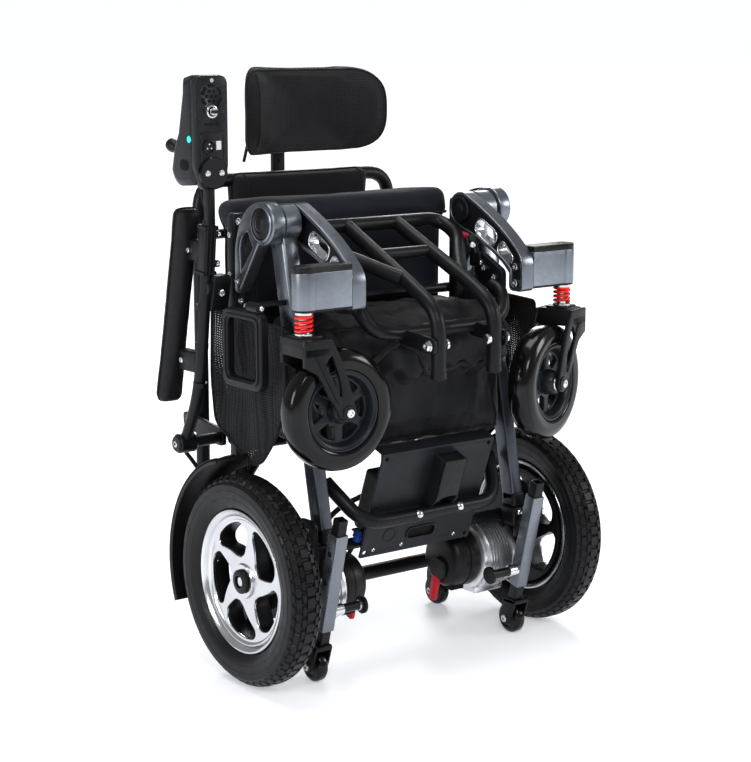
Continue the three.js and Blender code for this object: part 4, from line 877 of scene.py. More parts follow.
def make_anti_tip(side, sign):
    """The square tube that slides in the sleeve, with the fork at its foot."""
    piece = Piece(side + "_tip_tube", side + "_anti_tip_tube", "powder_black", side + "_anti_tip_tube",
                  sign=sign)
    length = (SLEEVE_BOTTOM - SLEEVE_TOP).length
    piece.put(BLACK, square_tube(SLEEVE_TOP - SLEEVE_RUN * 24, SLEEVE_TOP + SLEEVE_RUN * (length + 30), 8.4,
                                 2, 0.6))
    y = SMALL_FRONT[0]
    cheek = rounded([(y - 26, 60), (y + 6, 60), (y + 12, 22), (y - 3, 13), (y - 13, 22)], 8)
    for x in (SMALL_X - 15, SMALL_X + 12):
        piece.put(BLACK, flat(cheek, x, x + 3, edge=0.8))
    piece.put(BLACK, box((SMALL_X - 15, y - 24, 52), (SMALL_X + 15, y + 5, 59), 1.5))
    piece.put(STEEL, *small_axle(SMALL_FRONT))
    piece.done()


def make_small_wheel(side, sign, kind, spot):
    """One of the four small wheels near the floor."""
    piece = Piece(f"{side}_{kind}_roller", f"{side}_{kind}_wheel", "caster_rubber", f"{side}_{kind}_wheel",
                  sign=sign)
    tread = [(-8.6, 17), (-9, 19.5), (-8, 22.4), (-5.4, 24.6), (-4, 25), (4, 25), (5.4, 24.6), (8, 22.4),
             (9, 19.5), (8.6, 17)]
    piece.put(GLOSS, turned((SMALL_X, *spot), X, tread, 56, ring=True))
    hub = [(-10, 4.3), (-10, 9), (-8, 11), (-7, 17.2), (7, 17.2), (8, 11), (10, 9), (10, 4.3)]
    piece.put(HUB, turned((SMALL_X, *spot), X, hub, 40, ring=True))
    piece.done()


TYRE_RADIUS, TRACK = 159, 276
BLOCKS = 54  # tread blocks round the tyre


def tread_radius(turn, across):
    """The tyre's radius, with staggered rectangular blocks over the crown and shoulders."""
    share = abs(across) / 27
    crown = TYRE_RADIUS - 30 * max(0.0, share - 0.28) ** 2.1
    row = abs(across) / 7.2
    stagger = 0.5 * (int(row) % 2)
    along = (turn / (2 * math.pi) * BLOCKS + stagger) % 1
    cut_across = abs(row - round(row)) < 0.11 and row > 0.5
    cut_along = along < 0.2
    depth = 2.8 if row < 3.4 else 0.0
    return crown - (depth if cut_across or cut_along else 0.0)


def make_tyre(side, sign):
    """A drive tyre: one skin with its tread cut in, and raised rings on both walls."""
    piece = Piece(side + "_drive_tread", side + "_drive_wheel", "drive_rubber", side + "_drive_tyre",
                  sign=sign)
    steps, spots, faces = BLOCKS * 8, [], []
    widths = [-24.6, -24.2, -22.5, -22.1, -21.0, -20.6, -15.2, -14.8, -13.9, -13.5, -8.0, -7.6, -6.8, -6.4,
              0.0]
    widths += [-w for w in widths[-2::-1]]
    wall = [(26.4, 146), (27, 138), (26.6, 130), (24.6, 121), (21.5, 114.5), (17.6, 110.2)]
    for i in range(steps):
        turn = 2 * math.pi * i / steps
        ring = [(-along, radius) for along, radius in wall[::-1]]
        ring += [(w, tread_radius(turn, w)) for w in widths] + wall
        for along, radius in ring:
            spots.append(Vector((TRACK + along, radius * math.sin(turn),
                                 TYRE_RADIUS + radius * math.cos(turn))))
    count = len(widths) + 2 * len(wall)
    for i in range(steps):
        for j in range(count):
            k, n = (i + 1) % steps, (j + 1) % count
            faces.append((i * count + j, k * count + j, k * count + n, i * count + n))
    piece.put(TREAD, (spots, faces))
    for way in (1, -1):
        for radius in (137, 126):
            reach = 27 if radius > 130 else 25.7
            bead = [(0, radius - 1), (0.9, radius - 0.4), (0.9, radius + 0.4), (0, radius + 1)]
            foot = (TRACK + way * (reach - 0.5), 0, TYRE_RADIUS)
            piece.put(TREAD, turned(foot, X * way, bead, 120, ring=True))
    piece.done(32)


def petal(middle_turn):
    """One window of the wheel: pointed at the hub, wide and round at the rim, swept back as it goes out."""
    def spot(radius, off):
        turn = math.radians(middle_turn + off - 15 * (radius - 36) / 52)
        return radius * math.cos(turn), TYRE_RADIUS + radius * math.sin(turn)

    half = [(36 + 36 * i / 8, 31 * (i / 8) ** 0.36) for i in range(1, 8)]
    for i in range(9):
        turn = math.radians(90 * i / 8)
        half.append((72 + 16 * math.sin(turn), 31 - 14 * (1 - math.cos(turn))))
    ends = [spot(half[-1][0], 5 * i) for i in (2, 1, 0, -1, -2)]
    other_side = [spot(radius, -off) for radius, off in half[::-1]]
    return [spot(36, 0)] + [spot(*point) for point in half] + ends + other_side


def make_rim(side, sign):
    """A drive wheel's rim: a polished face with five windows, dark pockets behind them and the hub."""
    piece = Piece(side + "_alloy", side + "_drive_wheel", "polished_alloy", side + "_drive_rim", sign=sign)
    centre = (TRACK, 0, TYRE_RADIUS)
    barrel = [(-17, 99), (-17, 108), (15, 108), (15, 99), (9, 95.4), (-8, 95.4)]
    # The rim's well is near-black: painted shade inside the wheel.
    piece.put(RECESS_SHADE, turned(centre, X, barrel, 120, ring=True))
    for way in (1, -1):
        rolled = [(12 * way, 109), (17 * way, 109), (19 * way, 107.6), (19.6 * way, 105), (18 * way, 102),
                  (14 * way, 98)]
        piece.put(POLISHED, turned(centre, X, rolled + [(10 * way, 96), (10 * way, 100)], 120, ring=True))
    windows = [petal(76 + 72 * i) for i in range(5)]
    disc = arc(0, TYRE_RADIUS, 97, 0, 356, 90)
    piece.put(POLISHED, flat(disc, TRACK + 5, TRACK + 10, holes=windows, edge=1.6, rounds=4))
    pocket = arc(0, TYRE_RADIUS, 95.2, 0, 356, 90)
    piece.put(BLACK, flat(pocket, TRACK - 20, TRACK + 5.4, holes=windows, edge=0.6))
    drum = [(-34, 0), (-34, 46), (-31, 50), (-24, 50), (-22, 48), (-22, 0)]
    # The drum behind the windows is near-black: painted shade.
    piece.put(RECESS_SHADE, turned(centre, X, drum, 64))
    lip = [(8, 90), (11, 93), (13, 97), (13, 99), (8, 99)]
    piece.put(POLISHED, turned(centre, X, lip, 120, ring=True))
    hub = [(-22, 9.4), (-22, 25), (-20, 27), (10, 27), (14, 25), (14, 9.4)]
    piece.put(POLISHED, turned(centre, X, hub, 64, ring=True))
    cap = [(0, 10), (0, 17), (2, 18.5), (5, 18), (7, 14), (7, 9.6)]
    piece.put(PLASTIC, turned((TRACK + 13.6, 0, TYRE_RADIUS), X, cap, 48, ring=True))
    piece.put(STEEL, rod((TRACK + 10, 0, TYRE_RADIUS), (TRACK + 18, 0, TYRE_RADIUS), 7.5))
    piece.put(STEEL, rod((TRACK - 4, 99, 170), (TRACK + 2, 88, 169), 2.6, 0.5, 14))
    piece.done()


# ------------------------------------------------------------------ seat, backrest and headrest frames
RAIL_Y, HOOP_X, HOOP_Y, HOOP_TOP = 118, 187, 268, 728
POST_Y, TILT_Z = 322, 822
SEAT_HINGE = (190, 235)  # where the backrest turns on the seat, in (y, z)


def make_casting(side, sign):
    """The casting that joins the seat's frame to the knuckle."""
    def outline(inset):
        points = curve_to((30, 715 - inset), (90 - inset, 714 - inset), (104 - inset, 640), 14)
        points += curve_to((106 - inset, 588 + inset), (105 - inset, 572 + inset), (95, 574 + inset), 5)
        points += curve_to(points[-1], (62 + inset, 620), (40, 652 - inset * 0.3), 10)
        return points + arc(*KNUCKLE, 32 - inset, -72, -270, 26)

    opening = curve_to((64, 668), (86, 670), (91, 640), 8) + curve_to((93, 602), (76, 622), (56, 646), 8)
    piece = Piece(side + "_seat_arm", "seat", "cast_grey", side + "_seat_casting", sign=sign)
    piece.put(CAST, flat(outline(0), *CASTING, holes=[opening], edge=2.6, rounds=3))
    seat_ring = [(0, 24), (0, 27), (3, 27), (4, 25.6), (4, 24)]
    piece.put(CAST, turned((CASTING[1] - 1, *KNUCKLE), X, seat_ring, 56, ring=True))
    dome = [(0, 0), (0, 23.6), (1.5, 23.4), (4.4, 18), (5.2, 13.4), (4.4, 12.4), (4.8, 11), (6, 9.6),
            (6.6, 6), (6.8, 0)]
    piece.put(PLASTIC, turned((CASTING[1], *KNUCKLE), X, dome, 56))
    # A near-black plate inside the casting's opening: painted shade in the opening.
    painted_shade = curve_to((70, 662), (82, 660), (86, 640), 8) + [(84, 612), (64, 646)]
    piece.put(DARK_CAST_AND_SHADE, flat(painted_shade, 213, 221, edge=0.8))
    for y, z in ((98, 592), (92, 682)):
        piece.put(STEEL, bolt((CASTING[1] - 0.4, y, z), X, 5, 3))
    piece.done()


def make_seat_frame():
    """The seat's two rails with the lugs of the backrest's hinge, and the bars between them."""
    piece = Piece("seat_rails", "seat", "powder_black", "seat_frame")
    lug = rounded([(112, 276), (112, 244), (186, 218), (204, 225), (204, 247), (186, 252)], 8)
    hinge = [arc(*SEAT_HINGE, 6.6, 0, 345, 24)]
    piece.both(BLACK, box((206, RAIL_Y - 9.7, 240), (226, RAIL_Y + 9.8, 690), 3))
    piece.both(BLACK, flat(lug, 208, 216, holes=hinge, edge=1))
    for z in (237.5, 688):
        piece.both(PLASTIC, box((207, RAIL_Y - 8.6, z), (225, RAIL_Y + 8.7, z + 4), 1.5))
    piece.both(STEEL, *[bolt((226, RAIL_Y, z), X, 4.5, 3) for z in (660, 600, 520, 420, 300)])
    piece.both(STEEL, *[bolt((216, RAIL_Y - 9.7, z), -Y, 4.5, 3) for z in (560, 330)])
    for z in (545, 330):
        piece.put(BLACK, rod((-216, 127.6, z), (216, 127.6, z), 8))
    piece.done()


def make_stay(side, sign):
    """The flat bar that swings on a rear strut."""
    front, rear = Vector((201, -26, 443)), Vector((201, 200, 195))
    piece = Piece(side + "_stay_bar", side + "_seat_stay", "powder_black", side + "_seat_stay", sign=sign)
    run = (rear - front).normalized()
    bar = beam(front + run * 6, rear - run * 6, 6.4, 18, 2)
    piece.put(BLACK, bar)
    for spot in (front, rear):
        ring = [(0, 4.6), (0, 10.4), (0.8, 11.2), (5.6, 11.2), (6.4, 10.4), (6.4, 4.6)]
        piece.put(BLACK, turned((197.9, spot.y, spot.z), X, ring, 40, ring=True))
    piece.done()


def make_back_frame():
    """The backrest's hoop, its brace with the headrest's clamp, and the outriggers of the armrests."""
    piece = Piece("back_hoop", "backrest", "powder_black", "back_frame")
    hoop = [(-HOOP_X, HOOP_Y, 212), (-HOOP_X, HOOP_Y, HOOP_TOP)]
    hoop += [(-x, y, z) for x, y, z in hoop[::-1]]
    piece.put(BLACK, tube(hoop, 11, 46))
    brace = [(-HOOP_X, HOOP_Y, 640), (-148, 297, 640), (148, 297, 640), (HOOP_X, HOOP_Y, 640)]
    piece.put(BLACK, tube(brace, 8, 14))
    piece.put(BLACK, box((-22, 297, 622), (22, 317.4, 660), 3), box((-22, 327, 622), (22, 334, 660), 2))
    piece.put(BLACK, box((-22, 300, 622), (-12.6, 333, 660), 2), box((12.6, 300, 622), (22, 333, 660), 2))
    knob = [(0, 0), (0, 9), (2, 11), (8, 11), (10, 9), (10, 0)]
    piece.put(PLASTIC, rod((0, 333, 641), (0, 352, 641), 4), turned((0, 344, 641), Y, knob, 12))
    outrigger = rounded([(159, 326), (179, 325), (276, 339), (278, 363), (262, 363), (161, 352)], 8)
    piece.both(BLACK, flat(outrigger, 211, 218, edge=1.2), rod((187, HOOP_Y, 350), (217, HOOP_Y, 350), 8))
    piece.both(BLACK, box((190, 176, 214), (197, 272, 246), 2),
               rod((211, *ARM_PIVOT), (263, *ARM_PIVOT), 9))
    piece.both(STEEL, rod((190, *SEAT_HINGE), (219, *SEAT_HINGE), 6),
               bolt((218.6, *SEAT_HINGE), X, 8, 4, 6))
    piece.both(STEEL, bolt((218, 260, 353), X, 5, 3))
    piece.done()


def make_post():
    """The headrest's post, with its row of holes."""
    piece = Piece("post", "headrest_post", "powder_black", "headrest_post")
    piece.put(BLACK, box((-12, POST_Y - 4, 610), (12, POST_Y + 4, 814), 1.6))
    barrel = [(0, 0), (0, 10.6), (1.4, 12), (22.6, 12), (24, 10.6), (24, 0)]
    piece.put(BLACK, turned((-12, POST_Y, TILT_Z), X, barrel, 40))
    # The holes are near-black rods through the post: painted shade in the holes.
    for z in range(670, 790, 20):
        piece.put(RECESS_SHADE, rod((0, POST_Y - 4.4, z), (0, POST_Y + 4.4, z), 2.6, 0.2, 16))
    piece.done()


# ------------------------------------------------------------------ armrests and control unit
ARM_X = 280
ARM_PIVOT = (171, 338)
PAD_TOP, PAD_BOTTOM = Vector((142, 706)), Vector((208, 396))


def make_arm_frame(side, sign):
    """An armrest's tube with its pivot, clamp, bands and the brackets of the pad."""
    piece = Piece(side + "_arm_tube", side + "_armrest", "powder_black", side + "_armrest_frame", sign=sign)
    main = [(ARM_X, 94, 686), (ARM_X, 112, 520), (ARM_X, 128, 420), (ARM_X, *ARM_PIVOT)]
    piece.put(BLACK, tube(main, 9, 60))
    pivot = [(0, 9.6), (0, 13), (2, 15), (28, 15), (30, 13), (30, 9.6)]
    piece.put(BLACK, turned((264, *ARM_PIVOT), X, pivot, 44, ring=True))
    cap = [(0, 0), (0, 12.6), (1.5, 12.6), (3, 11), (3, 0)]
    piece.put(PLASTIC, turned((293.6, *ARM_PIVOT), X, cap, 40))
    piece.put(STEEL, bolt((296, *ARM_PIVOT), X, 5.4, 2.4, 6))
    clamp_top, clamp_foot = Vector((ARM_X, 95, 680)), Vector((ARM_X, 103, 606))
    piece.put(PLASTIC, beam(clamp_top, clamp_foot, 21, 21, 3))
    run = clamp_foot - clamp_top
    for x in (-6, 0, 6):
        aside = Vector((x, -11.4, 0))
        piece.put(PLASTIC, beam(clamp_top + aside, clamp_foot + aside, 3.4, 2.4, 1))
    for share in (0.04, 0.96):
        spot = clamp_top + run * share
        piece.put(PLASTIC, beam(spot - run.normalized() * 3, spot + run.normalized() * 3, 24, 24, 1.6))
    for share in (0.2, 0.8):
        spot = clamp_top + run * share
        piece.put(PLASTIC, box(spot - Vector((22, 5, 5)), spot + Vector((-10, 5, 5)), 2))
        piece.put(STEEL, bolt((spot.x - 17, spot.y - 5, spot.z), (0, -1, 0.1), 3.2, 3))
    for z, high, deep in ((624, 656, 148), (454, 486, 172)):
        low = 98 if z > 600 else 122
        piece.put(BLACK, box((271, low, z), (289, deep, high), 3))
        piece.put(STEEL, bolt((289, deep - 12, z + 16), X, 4.5, 3))
    bracket = rounded([(84, 604), (122, 604), (128, 556), (96, 548)], 10)
    boss = [(0, 0), (0, 15), (10, 15), (12, 13), (12, 0)]
    piece.put(BLACK, flat(bracket, 246, 276, edge=1.6), turned((252, 118, 588), -X, boss, 44))
    piece.put(BLACK, rod((276, 100, 585), (284, 100, 585), 11))
    piece.put(STEEL, bolt((262, 89, 578), -Y, 5.4, 4, 6))
    for z in (560, 500, 440):
        y = 107 + (600 - z) * 0.105
        band = [(0, 8.6), (0, 10.6), (8, 10.6), (8, 8.6)]
        piece.put(PLASTIC, turned((ARM_X, y, z), (0, 0.12, -1), band, 32, ring=True))
    piece.done()


FACE_Y, KEY_Z, GRILLE_Z, BRACKET_Z, PORT = 79, 846, 868, 757, (6, 795)
STICK_BASE, STICK_AIM = (152, 778), Vector((0, math.cos(math.radians(20)), math.sin(math.radians(20))))


def make_joystick_box():
    """The control unit, built at x = 0 where that is shorter and shifted by here."""
    x0 = ARM_X
    piece = Piece("control_unit", "right_armrest", "joystick_grey", "joystick_housing", sign=-1)
    side = [(86, 886)] + curve_to((88, 898), (95, 899), (100, 898), 5)
    side += curve_to((116, 896), (121, 892), (121, 872), 6)
    side += [(134, 814), (146, 792)] + curve_to((156, 766), (150, 738), (128, 736), 8)
    side += curve_to((96, 738), (85, 740), (83, 760), 6)
    face = [(-28, 898, 14), (28, 898, 14), (28, 764), (19, 734), (-19, 734), (-28, 764)]
    key_hole = arc(0, KEY_Z, 7.4, 0, 345, 24)
    core = flat(side, -25, 25, edge=4, rounds=4)
    front = flat(rounded(face, 8), 79, 92, "y", holes=[key_hole], edge=2.4, rounds=3)
    here = Matrix.Translation((x0, 0, 0))
    piece.put(CHARCOAL, moved(core, here), moved(front, here))
    piece.put(CHARCOAL, moved(flat(side, -28, 28, edge=11, rounds=6), here))
    # A near-black rod in the key hole: painted shade.
    piece.put(RECESS_SHADE, rod((x0, 88, KEY_Z), (x0, 100, KEY_Z), 7.6))
    plate = [(-2, 0), (-2, 20), (0.8, 20), (1.2, 19.4), (0.7, 18.6), (0.7, 0)]
    piece.put(CHARCOAL, turned((x0, FACE_Y + 0.6, GRILLE_Z), -Y, plate, 56))
    # The grille's slots and holes are near-black shapes on the face: painted shade in the openings.
    for turn in range(30, 360, 60):
        segment = arc(0, 0, 17, turn - 21, turn + 21, 10) + arc(0, 0, 13.4, turn + 21, turn - 21, 10)
        bar = flat(segment, 77.9, 78.8, "y", edge=0.2)
        piece.put(RECESS_SHADE, moved(bar, Matrix.Translation((x0, -0.2, GRILLE_Z))))
    for turn in range(0, 360, 60):
        t = math.radians(turn)
        spot = (x0 + 8 * math.cos(t), 79.4, GRILLE_Z + 8 * math.sin(t))
        piece.put(RECESS_SHADE, rod(spot, (spot[0], 77.8, spot[2]), 2.1, 0.2, 16))
    piece.put(RECESS_SHADE, rod((x0, 79.4, GRILLE_Z), (x0, 77.8, GRILLE_Z), 2.4, 0.2, 16))
    top_screw = [(0, 0), (0, 3.2), (0.8, 3), (0.8, 1.4), (-0.8, 1.2), (-0.8, 0)]
    piece.put(STEEL, turned((x0, 78.8, 891), -Y, top_screw, 24))
    collar = [(0, 7.4), (0, 10), (1.6, 9.6), (2.2, 8.6), (2.2, 7.4)]
    piece.put(STEEL, turned((x0, FACE_Y, KEY_Z), -Y, collar, 40, ring=True))
    # A near-black slit: painted shade.
    piece.put(RECESS_SHADE, moved(flat(slab(0, 828, 12, 1.5, 1.5), 77.8, 79.4, "y", edge=0.3), here))
    well = flat(slab(0, 794, 21, 22, 6), 77.4, 79.6, "y", holes=[slab(0, 794, 18.4, 19.4, 5)], edge=0.7)
    piece.put(CHARCOAL, moved(well, here))
    piece.put(PLASTIC, moved(flat(slab(0, 794, 18.8, 19.8, 5), 78.2, 79.4, "y", edge=0.4), here))
    piece.put(PALE, moved(flat(slab(-10, 797, 4.4, 6.4, 1), 77.3, 78.6, "y", edge=0.3), here))
    port = [(0, 6.6), (0, 11.4), (2.6, 11), (3, 10), (3, 8.4), (1, 7.6)]
    piece.put(PLASTIC, turned((x0 + PORT[0], 78.4, PORT[1]), -Y, port, 40, ring=True))
    plug = [(0, 0), (0, 7.6), (0.6, 7.6), (0.6, 0)]
    piece.put(PLASTIC, turned((x0 + PORT[0], 78.6, PORT[1]), -Y, plug, 32))
    for turn in (90, 210, 330):
        t = math.radians(turn)
        pin = (x0 + PORT[0] + 4 * math.cos(t), PORT[1] + 4 * math.sin(t))
        piece.put(STEEL, rod((pin[0], 78.2, pin[1]), (pin[0], 77.2, pin[1]), 1.3, 0.1, 12))
    piece.put(LAMP, rod((x0 + 26, 98, 806), (x0 + 29, 98, 806), 5, 0.8))
    # A near-black recess on the side: painted shade.
    recess = flat(slab(112, 768, 12, 8, 8), 27.2, 28.5, "x", edge=0.3)
    piece.put(RECESS_SHADE, moved(recess, here))
    for spot in ((104, 870), (128, 800)):
        piece.put(CHARCOAL, rod((x0 + 27.6, *spot), (x0 + 28.3, *spot), 2.2, 0.1, 16))
    socket = [(0, 18), (0, 21), (3, 20.6), (6, 19), (6, 18)]
    foot = Vector((x0, *STICK_BASE)) - STICK_AIM * 4
    piece.put(PLASTIC, turned(foot, STICK_AIM, socket, 48, ring=True))
    bracket = [(0, 0), (0, 24), (3, 24), (22, 24), (24, 22), (24, 0)]
    piece.put(GLOSS, turned((x0, 98, BRACKET_Z), -Y, bracket, 56))
    for dx in (-12, 12):
        piece.put(STEEL, bolt((x0 + dx, 74.4, BRACKET_Z), -Y, 4.6, 3.2))
    piece.put(BLACK, box((x0 - 7, 84, 670), (x0 + 7, 96, 760), 2))
    piece.put(RUBBER, tube([(x0 - 10, 128, 742), (x0 - 11, 124, 716), (x0 - 10, 112, 690),
                            (x0 - 9, 106, 640)], 3.4, 14, 14))
    piece.done()


def make_stick():
    """The joystick, its gimbal ring and the power key."""
    base, aim = Vector((ARM_X, *STICK_BASE)), STICK_AIM
    ring = [(-2.6, 9.4), (-2.6, 12.4), (-1.6, 13), (1.6, 13), (2.6, 12.4), (2.6, 9.4)]
    gimbal = Piece("gimbal_ring", "joystick_gimbal", "black_plastic", "joystick_gimbal", sign=-1)
    gimbal.put(PLASTIC, turned(base, aim, ring, 44, ring=True)).done()
    stick = Piece("stick", "joystick", "black_plastic", "joystick_lever", sign=-1)
    boot = [(0, 0), (0, 5), (5, 6), (6.4, 14.2), (7.6, 14.6), (9, 12.8), (10.4, 13.4), (12, 12),
            (13.4, 12.4), (15.4, 9.8), (16.8, 10), (19, 7.6), (22, 6.4), (26, 5.6)]
    knob = [(26, 5.6), (29, 6.2), (33, 8.6), (37, 10), (42, 10.3), (46, 9.6), (49, 7.4), (50.6, 4), (51, 0)]
    stick.put(RUBBER, turned(base, aim, boot + [(26, 0)], 48))
    stick.put(PLASTIC, turned(base, aim, [(26, 0)] + knob, 48))
    stick.done()
    key = Piece("key", "power_key", "key_steel", "power_key", sign=-1)
    key.put(STEEL, rod((ARM_X, 70, KEY_Z), (ARM_X, 96, KEY_Z), 5.8))
    bow = flat(slab(0, 64, 9, 6.4, 5), KEY_Z - 2, KEY_Z + 2, "z", edge=1, rounds=3)
    key.put(PLASTIC, moved(bow, Matrix.Translation((ARM_X, 0, 0))))
    key.done()


def make_side_handle():
    """The loop handle on the chair's right side."""
    piece = Piece("loop_handle", "side_handle", "powder_black", "side_handle", sign=-1)
    outer, inner = slab(16, 504, 52, 58, 18), slab(16, 504, 38, 44, 12)
    piece.put(BLACK, flat(outer, 262, 276, holes=[inner], edge=3, rounds=4))
    piece.put(BLACK, flat(slab(16, 504, 45, 51, 15), 265, 278, holes=[slab(16, 504, 41, 47, 13)], edge=1))
    piece.put(BLACK, rod((269, -26, HANDLE[1]), (269, 2, HANDLE[1]), 8),
              box((264, -22, 552), (274, 0, 566), 2))
    piece.put(STEEL, bolt((HANDLE[0], -26.5, HANDLE[1]), -Y, 4, 3, 6))
    piece.done()


# ------------------------------------------------------------------ upholstery
def from_world(spot):
    """The millimetres that place() would turn into spot."""
    return Vector((spot.x / MM, (spot.y - AXLE_Y) / MM, spot.z / MM))


def bake(obj):
    """Applies every modifier."""
    mesh = bpy.data.meshes.new_from_object(obj.evaluated_get(bpy.context.evaluated_depsgraph_get()))
    obj.modifiers.clear()
    obj.data = mesh


def puffed(obj, pressure=4.0, cap=10.0, voxel=6.0, held=None, creases=0.0, grain=18.0, across=(1, 1, 1),
           soften=4, sag=None):
    """Turns a closed cover into stuffed cloth: an even mesh, blown up from inside, then softened.

    held(spot) says in millimetres where the cover is fixed. Creases are small folds in the cloth,
    finer along the directions in which across is larger.
    """
    remesh = obj.modifiers.new("remesh", "REMESH")
    remesh.mode = "VOXEL"
    remesh.voxel_size = voxel * MM
    bake(obj)
    mesh = obj.data
    rest = [v.co.copy() for v in mesh.vertices]
    normals = [v.normal.copy() for v in mesh.vertices]
    fixed = [bool(held and held(from_world(spot))) for spot in rest]
    group = obj.vertex_groups.new(name="held")
    group.add([i for i, kept in enumerate(fixed) if kept], 1.0, "REPLACE")
    modifier = obj.modifiers.new("cloth", "CLOTH")
    settings = modifier.settings
    settings.quality = 4
    settings.mass = 0.2
    settings.tension_stiffness = settings.compression_stiffness = settings.shear_stiffness = 12
    settings.bending_stiffness = 0.4
    settings.use_pressure = True
    settings.uniform_pressure_force = pressure
    settings.effector_weights.gravity = 0
    if any(fixed):
        settings.vertex_group_mass = "held"
    modifier.point_cache.frame_start, modifier.point_cache.frame_end = 1, 20
    for step in range(1, 21):
        bpy.context.scene.frame_set(step)
    blown = obj.evaluated_get(bpy.context.evaluated_depsgraph_get()).data
    blown = [v.co.copy() for v in blown.vertices]
    obj.modifiers.clear()
    bpy.context.scene.frame_set(1)
    for vertex, start, end, normal, kept in zip(mesh.vertices, rest, blown, normals, fixed):
        move = end - start
        if move.length > cap * MM:
            move *= cap * MM / move.length
        spot = start + move
        if creases and not kept:
            where = Vector([c / MM / grain * a for c, a in zip(start, across)])
            fold = abs(noise.noise(where)) * 2 + abs(noise.noise(where * 2.3)) * 0.8
            spot += normal * (0.75 - fold) * creases * MM
        if sag:
            spot.y -= sag(from_world(start)) * MM
        vertex.co = spot
    smooth = obj.modifiers.new("soften", "SMOOTH")
    smooth.iterations = soften
    finer = obj.modifiers.new("finer", "SUBSURF")
    finer.levels = finer.render_levels = 1
    bake(obj)
    obj.data.polygons.foreach_set("use_smooth", [True] * len(obj.data.polygons))


def seam(obj, name, corners, radius=1.6, sink=0.3, closed=False, material=PIPING, bend=20):
    """A cord of piping laid over a cover's surface along a path given in millimetres."""
    path = bent([Vector(c) for c in corners], bend) if not closed else [Vector(c) for c in corners]
    if closed:
        path.append(path[0])
    dense = []
    for first, second in zip(path, path[1:]):
        count = max(1, round((second - first).length / 6))
        dense += [first.lerp(second, i / count) for i in range(count)]
    if not closed:
        dense.append(path[-1])
    laid_on = []
    for spot in dense:
        _, near, normal, _ = obj.closest_point_on_mesh(place(*spot))
        laid_on.append(from_world(near) + normal * radius * (1 - sink))
    for _ in range(2):
        around = list(laid_on)
        for i in range(0 if closed else 1, len(laid_on) - (0 if closed else 1)):
            laid_on[i] = (around[i - 1] + around[i] * 2 + around[(i + 1) % len(around)]) / 4
    piece = Piece(name, obj.parent.name.split("body:")[-1], obj["seam_slot"])
    piece.put(material, sweep(laid_on, radius, 10, closed)).done(60)


def soft(name, body, slot, node, shapes, material, sign=1, **how):
    """A cover in the place of a CAD soft solid, puffed as how says."""
    piece = Piece(name, body, slot, node, sign=sign)
    piece.put(material, *shapes)
    obj = piece.done()
    obj["seam_slot"] = slot
    puffed(obj, **how)
    obj.data.materials.clear()
    obj.data.materials.append(material)
    return obj


def make_seat():
    """The folded seat stands upright, its padded edge uppermost."""
    board = box((-202, 142, 315), (202, 180, 690), 11, 4)
    roll = box((-213, 127, 662), (213, 184, 710), 17, 5)
    ends = [box((x - 16, 136, 316), (x + 16, 181, 696), 12, 4) for x in (-188, 188)]
    seat = soft("seat_cover", "seat", "seat_fabric", "seat_cushion", [board, roll, *ends], SEAT, pressure=6,
                cap=5, voxel=6, creases=0.8, grain=52, across=(1.0, 1.4, 0.7),
                held=lambda s: abs(s.z - 667) < 3 and s.y < 150)
    seam(seat, "seat_front_seam", [(-210, 150, 669), (-206, 132, 669), (206, 132, 669), (210, 150, 669)],
         2.2, 0.2, bend=6)
    loop = [(x, 180, z) for x, z in rounded([(-204, 318), (204, 318), (204, 700), (-204, 700)], 16)]
    seam(seat, "seat_piping_back", loop, 1.9, closed=True)
    for x in (-172, 172):
        seam(seat, f"seat_seam_{x}", [(x, 138, 330), (x, 138, 668)], 1.0, 0.6, material=SEAT)


def make_back():
    """The backrest pad: smooth cloth, with a seam inside each edge and piping round it."""
    shapes = [box((-134, 244, 294), (134, 282, 742), 8, 4)]
    back = soft("back_cover", "backrest", "back_fabric", "back_pad", shapes, SMOOTH, pressure=5, cap=7,
                voxel=6, creases=1.2, grain=60, across=(0.8, 1, 1.2))
    for x in (-112, 112):
        seam(back, f"back_seam_{x}",
             [(x, 241, 310), (x, 241, 746), (x, 262, 750), (x, 285, 746), (x, 285, 310)], 1.1, 0.55)
    loop = [(x, 262, z) for x, z in rounded([(-139, 290), (139, 290), (139, 748), (-139, 748)], 10)]
    seam(back, "back_piping", loop, 1.7, closed=True)


HEAD_Z, HEAD_HALF, HEAD_RISE = 836, 140, 73


def head_outline(inset):
    """The pad seen from the front; its top corners are as round as its bottom ones."""
    half, low, high = HEAD_HALF - inset, HEAD_Z - HEAD_RISE + inset, HEAD_Z + HEAD_RISE - inset
    return rounded([(-half, low, 34), (half, low, 60), (half, high, 60), (-half, high, 34)], 0, 12)


def head_front(x):
    """Depth of the curved pad's front face at x."""
    share = min(abs(x) / 139, 1)
    return 238 - 46 * share ** 1.8


def head_back(x):
    """Depth of its back face at x."""
    share = min(abs(x) / 139, 1)
    return 285 - 77 * share ** 1.9


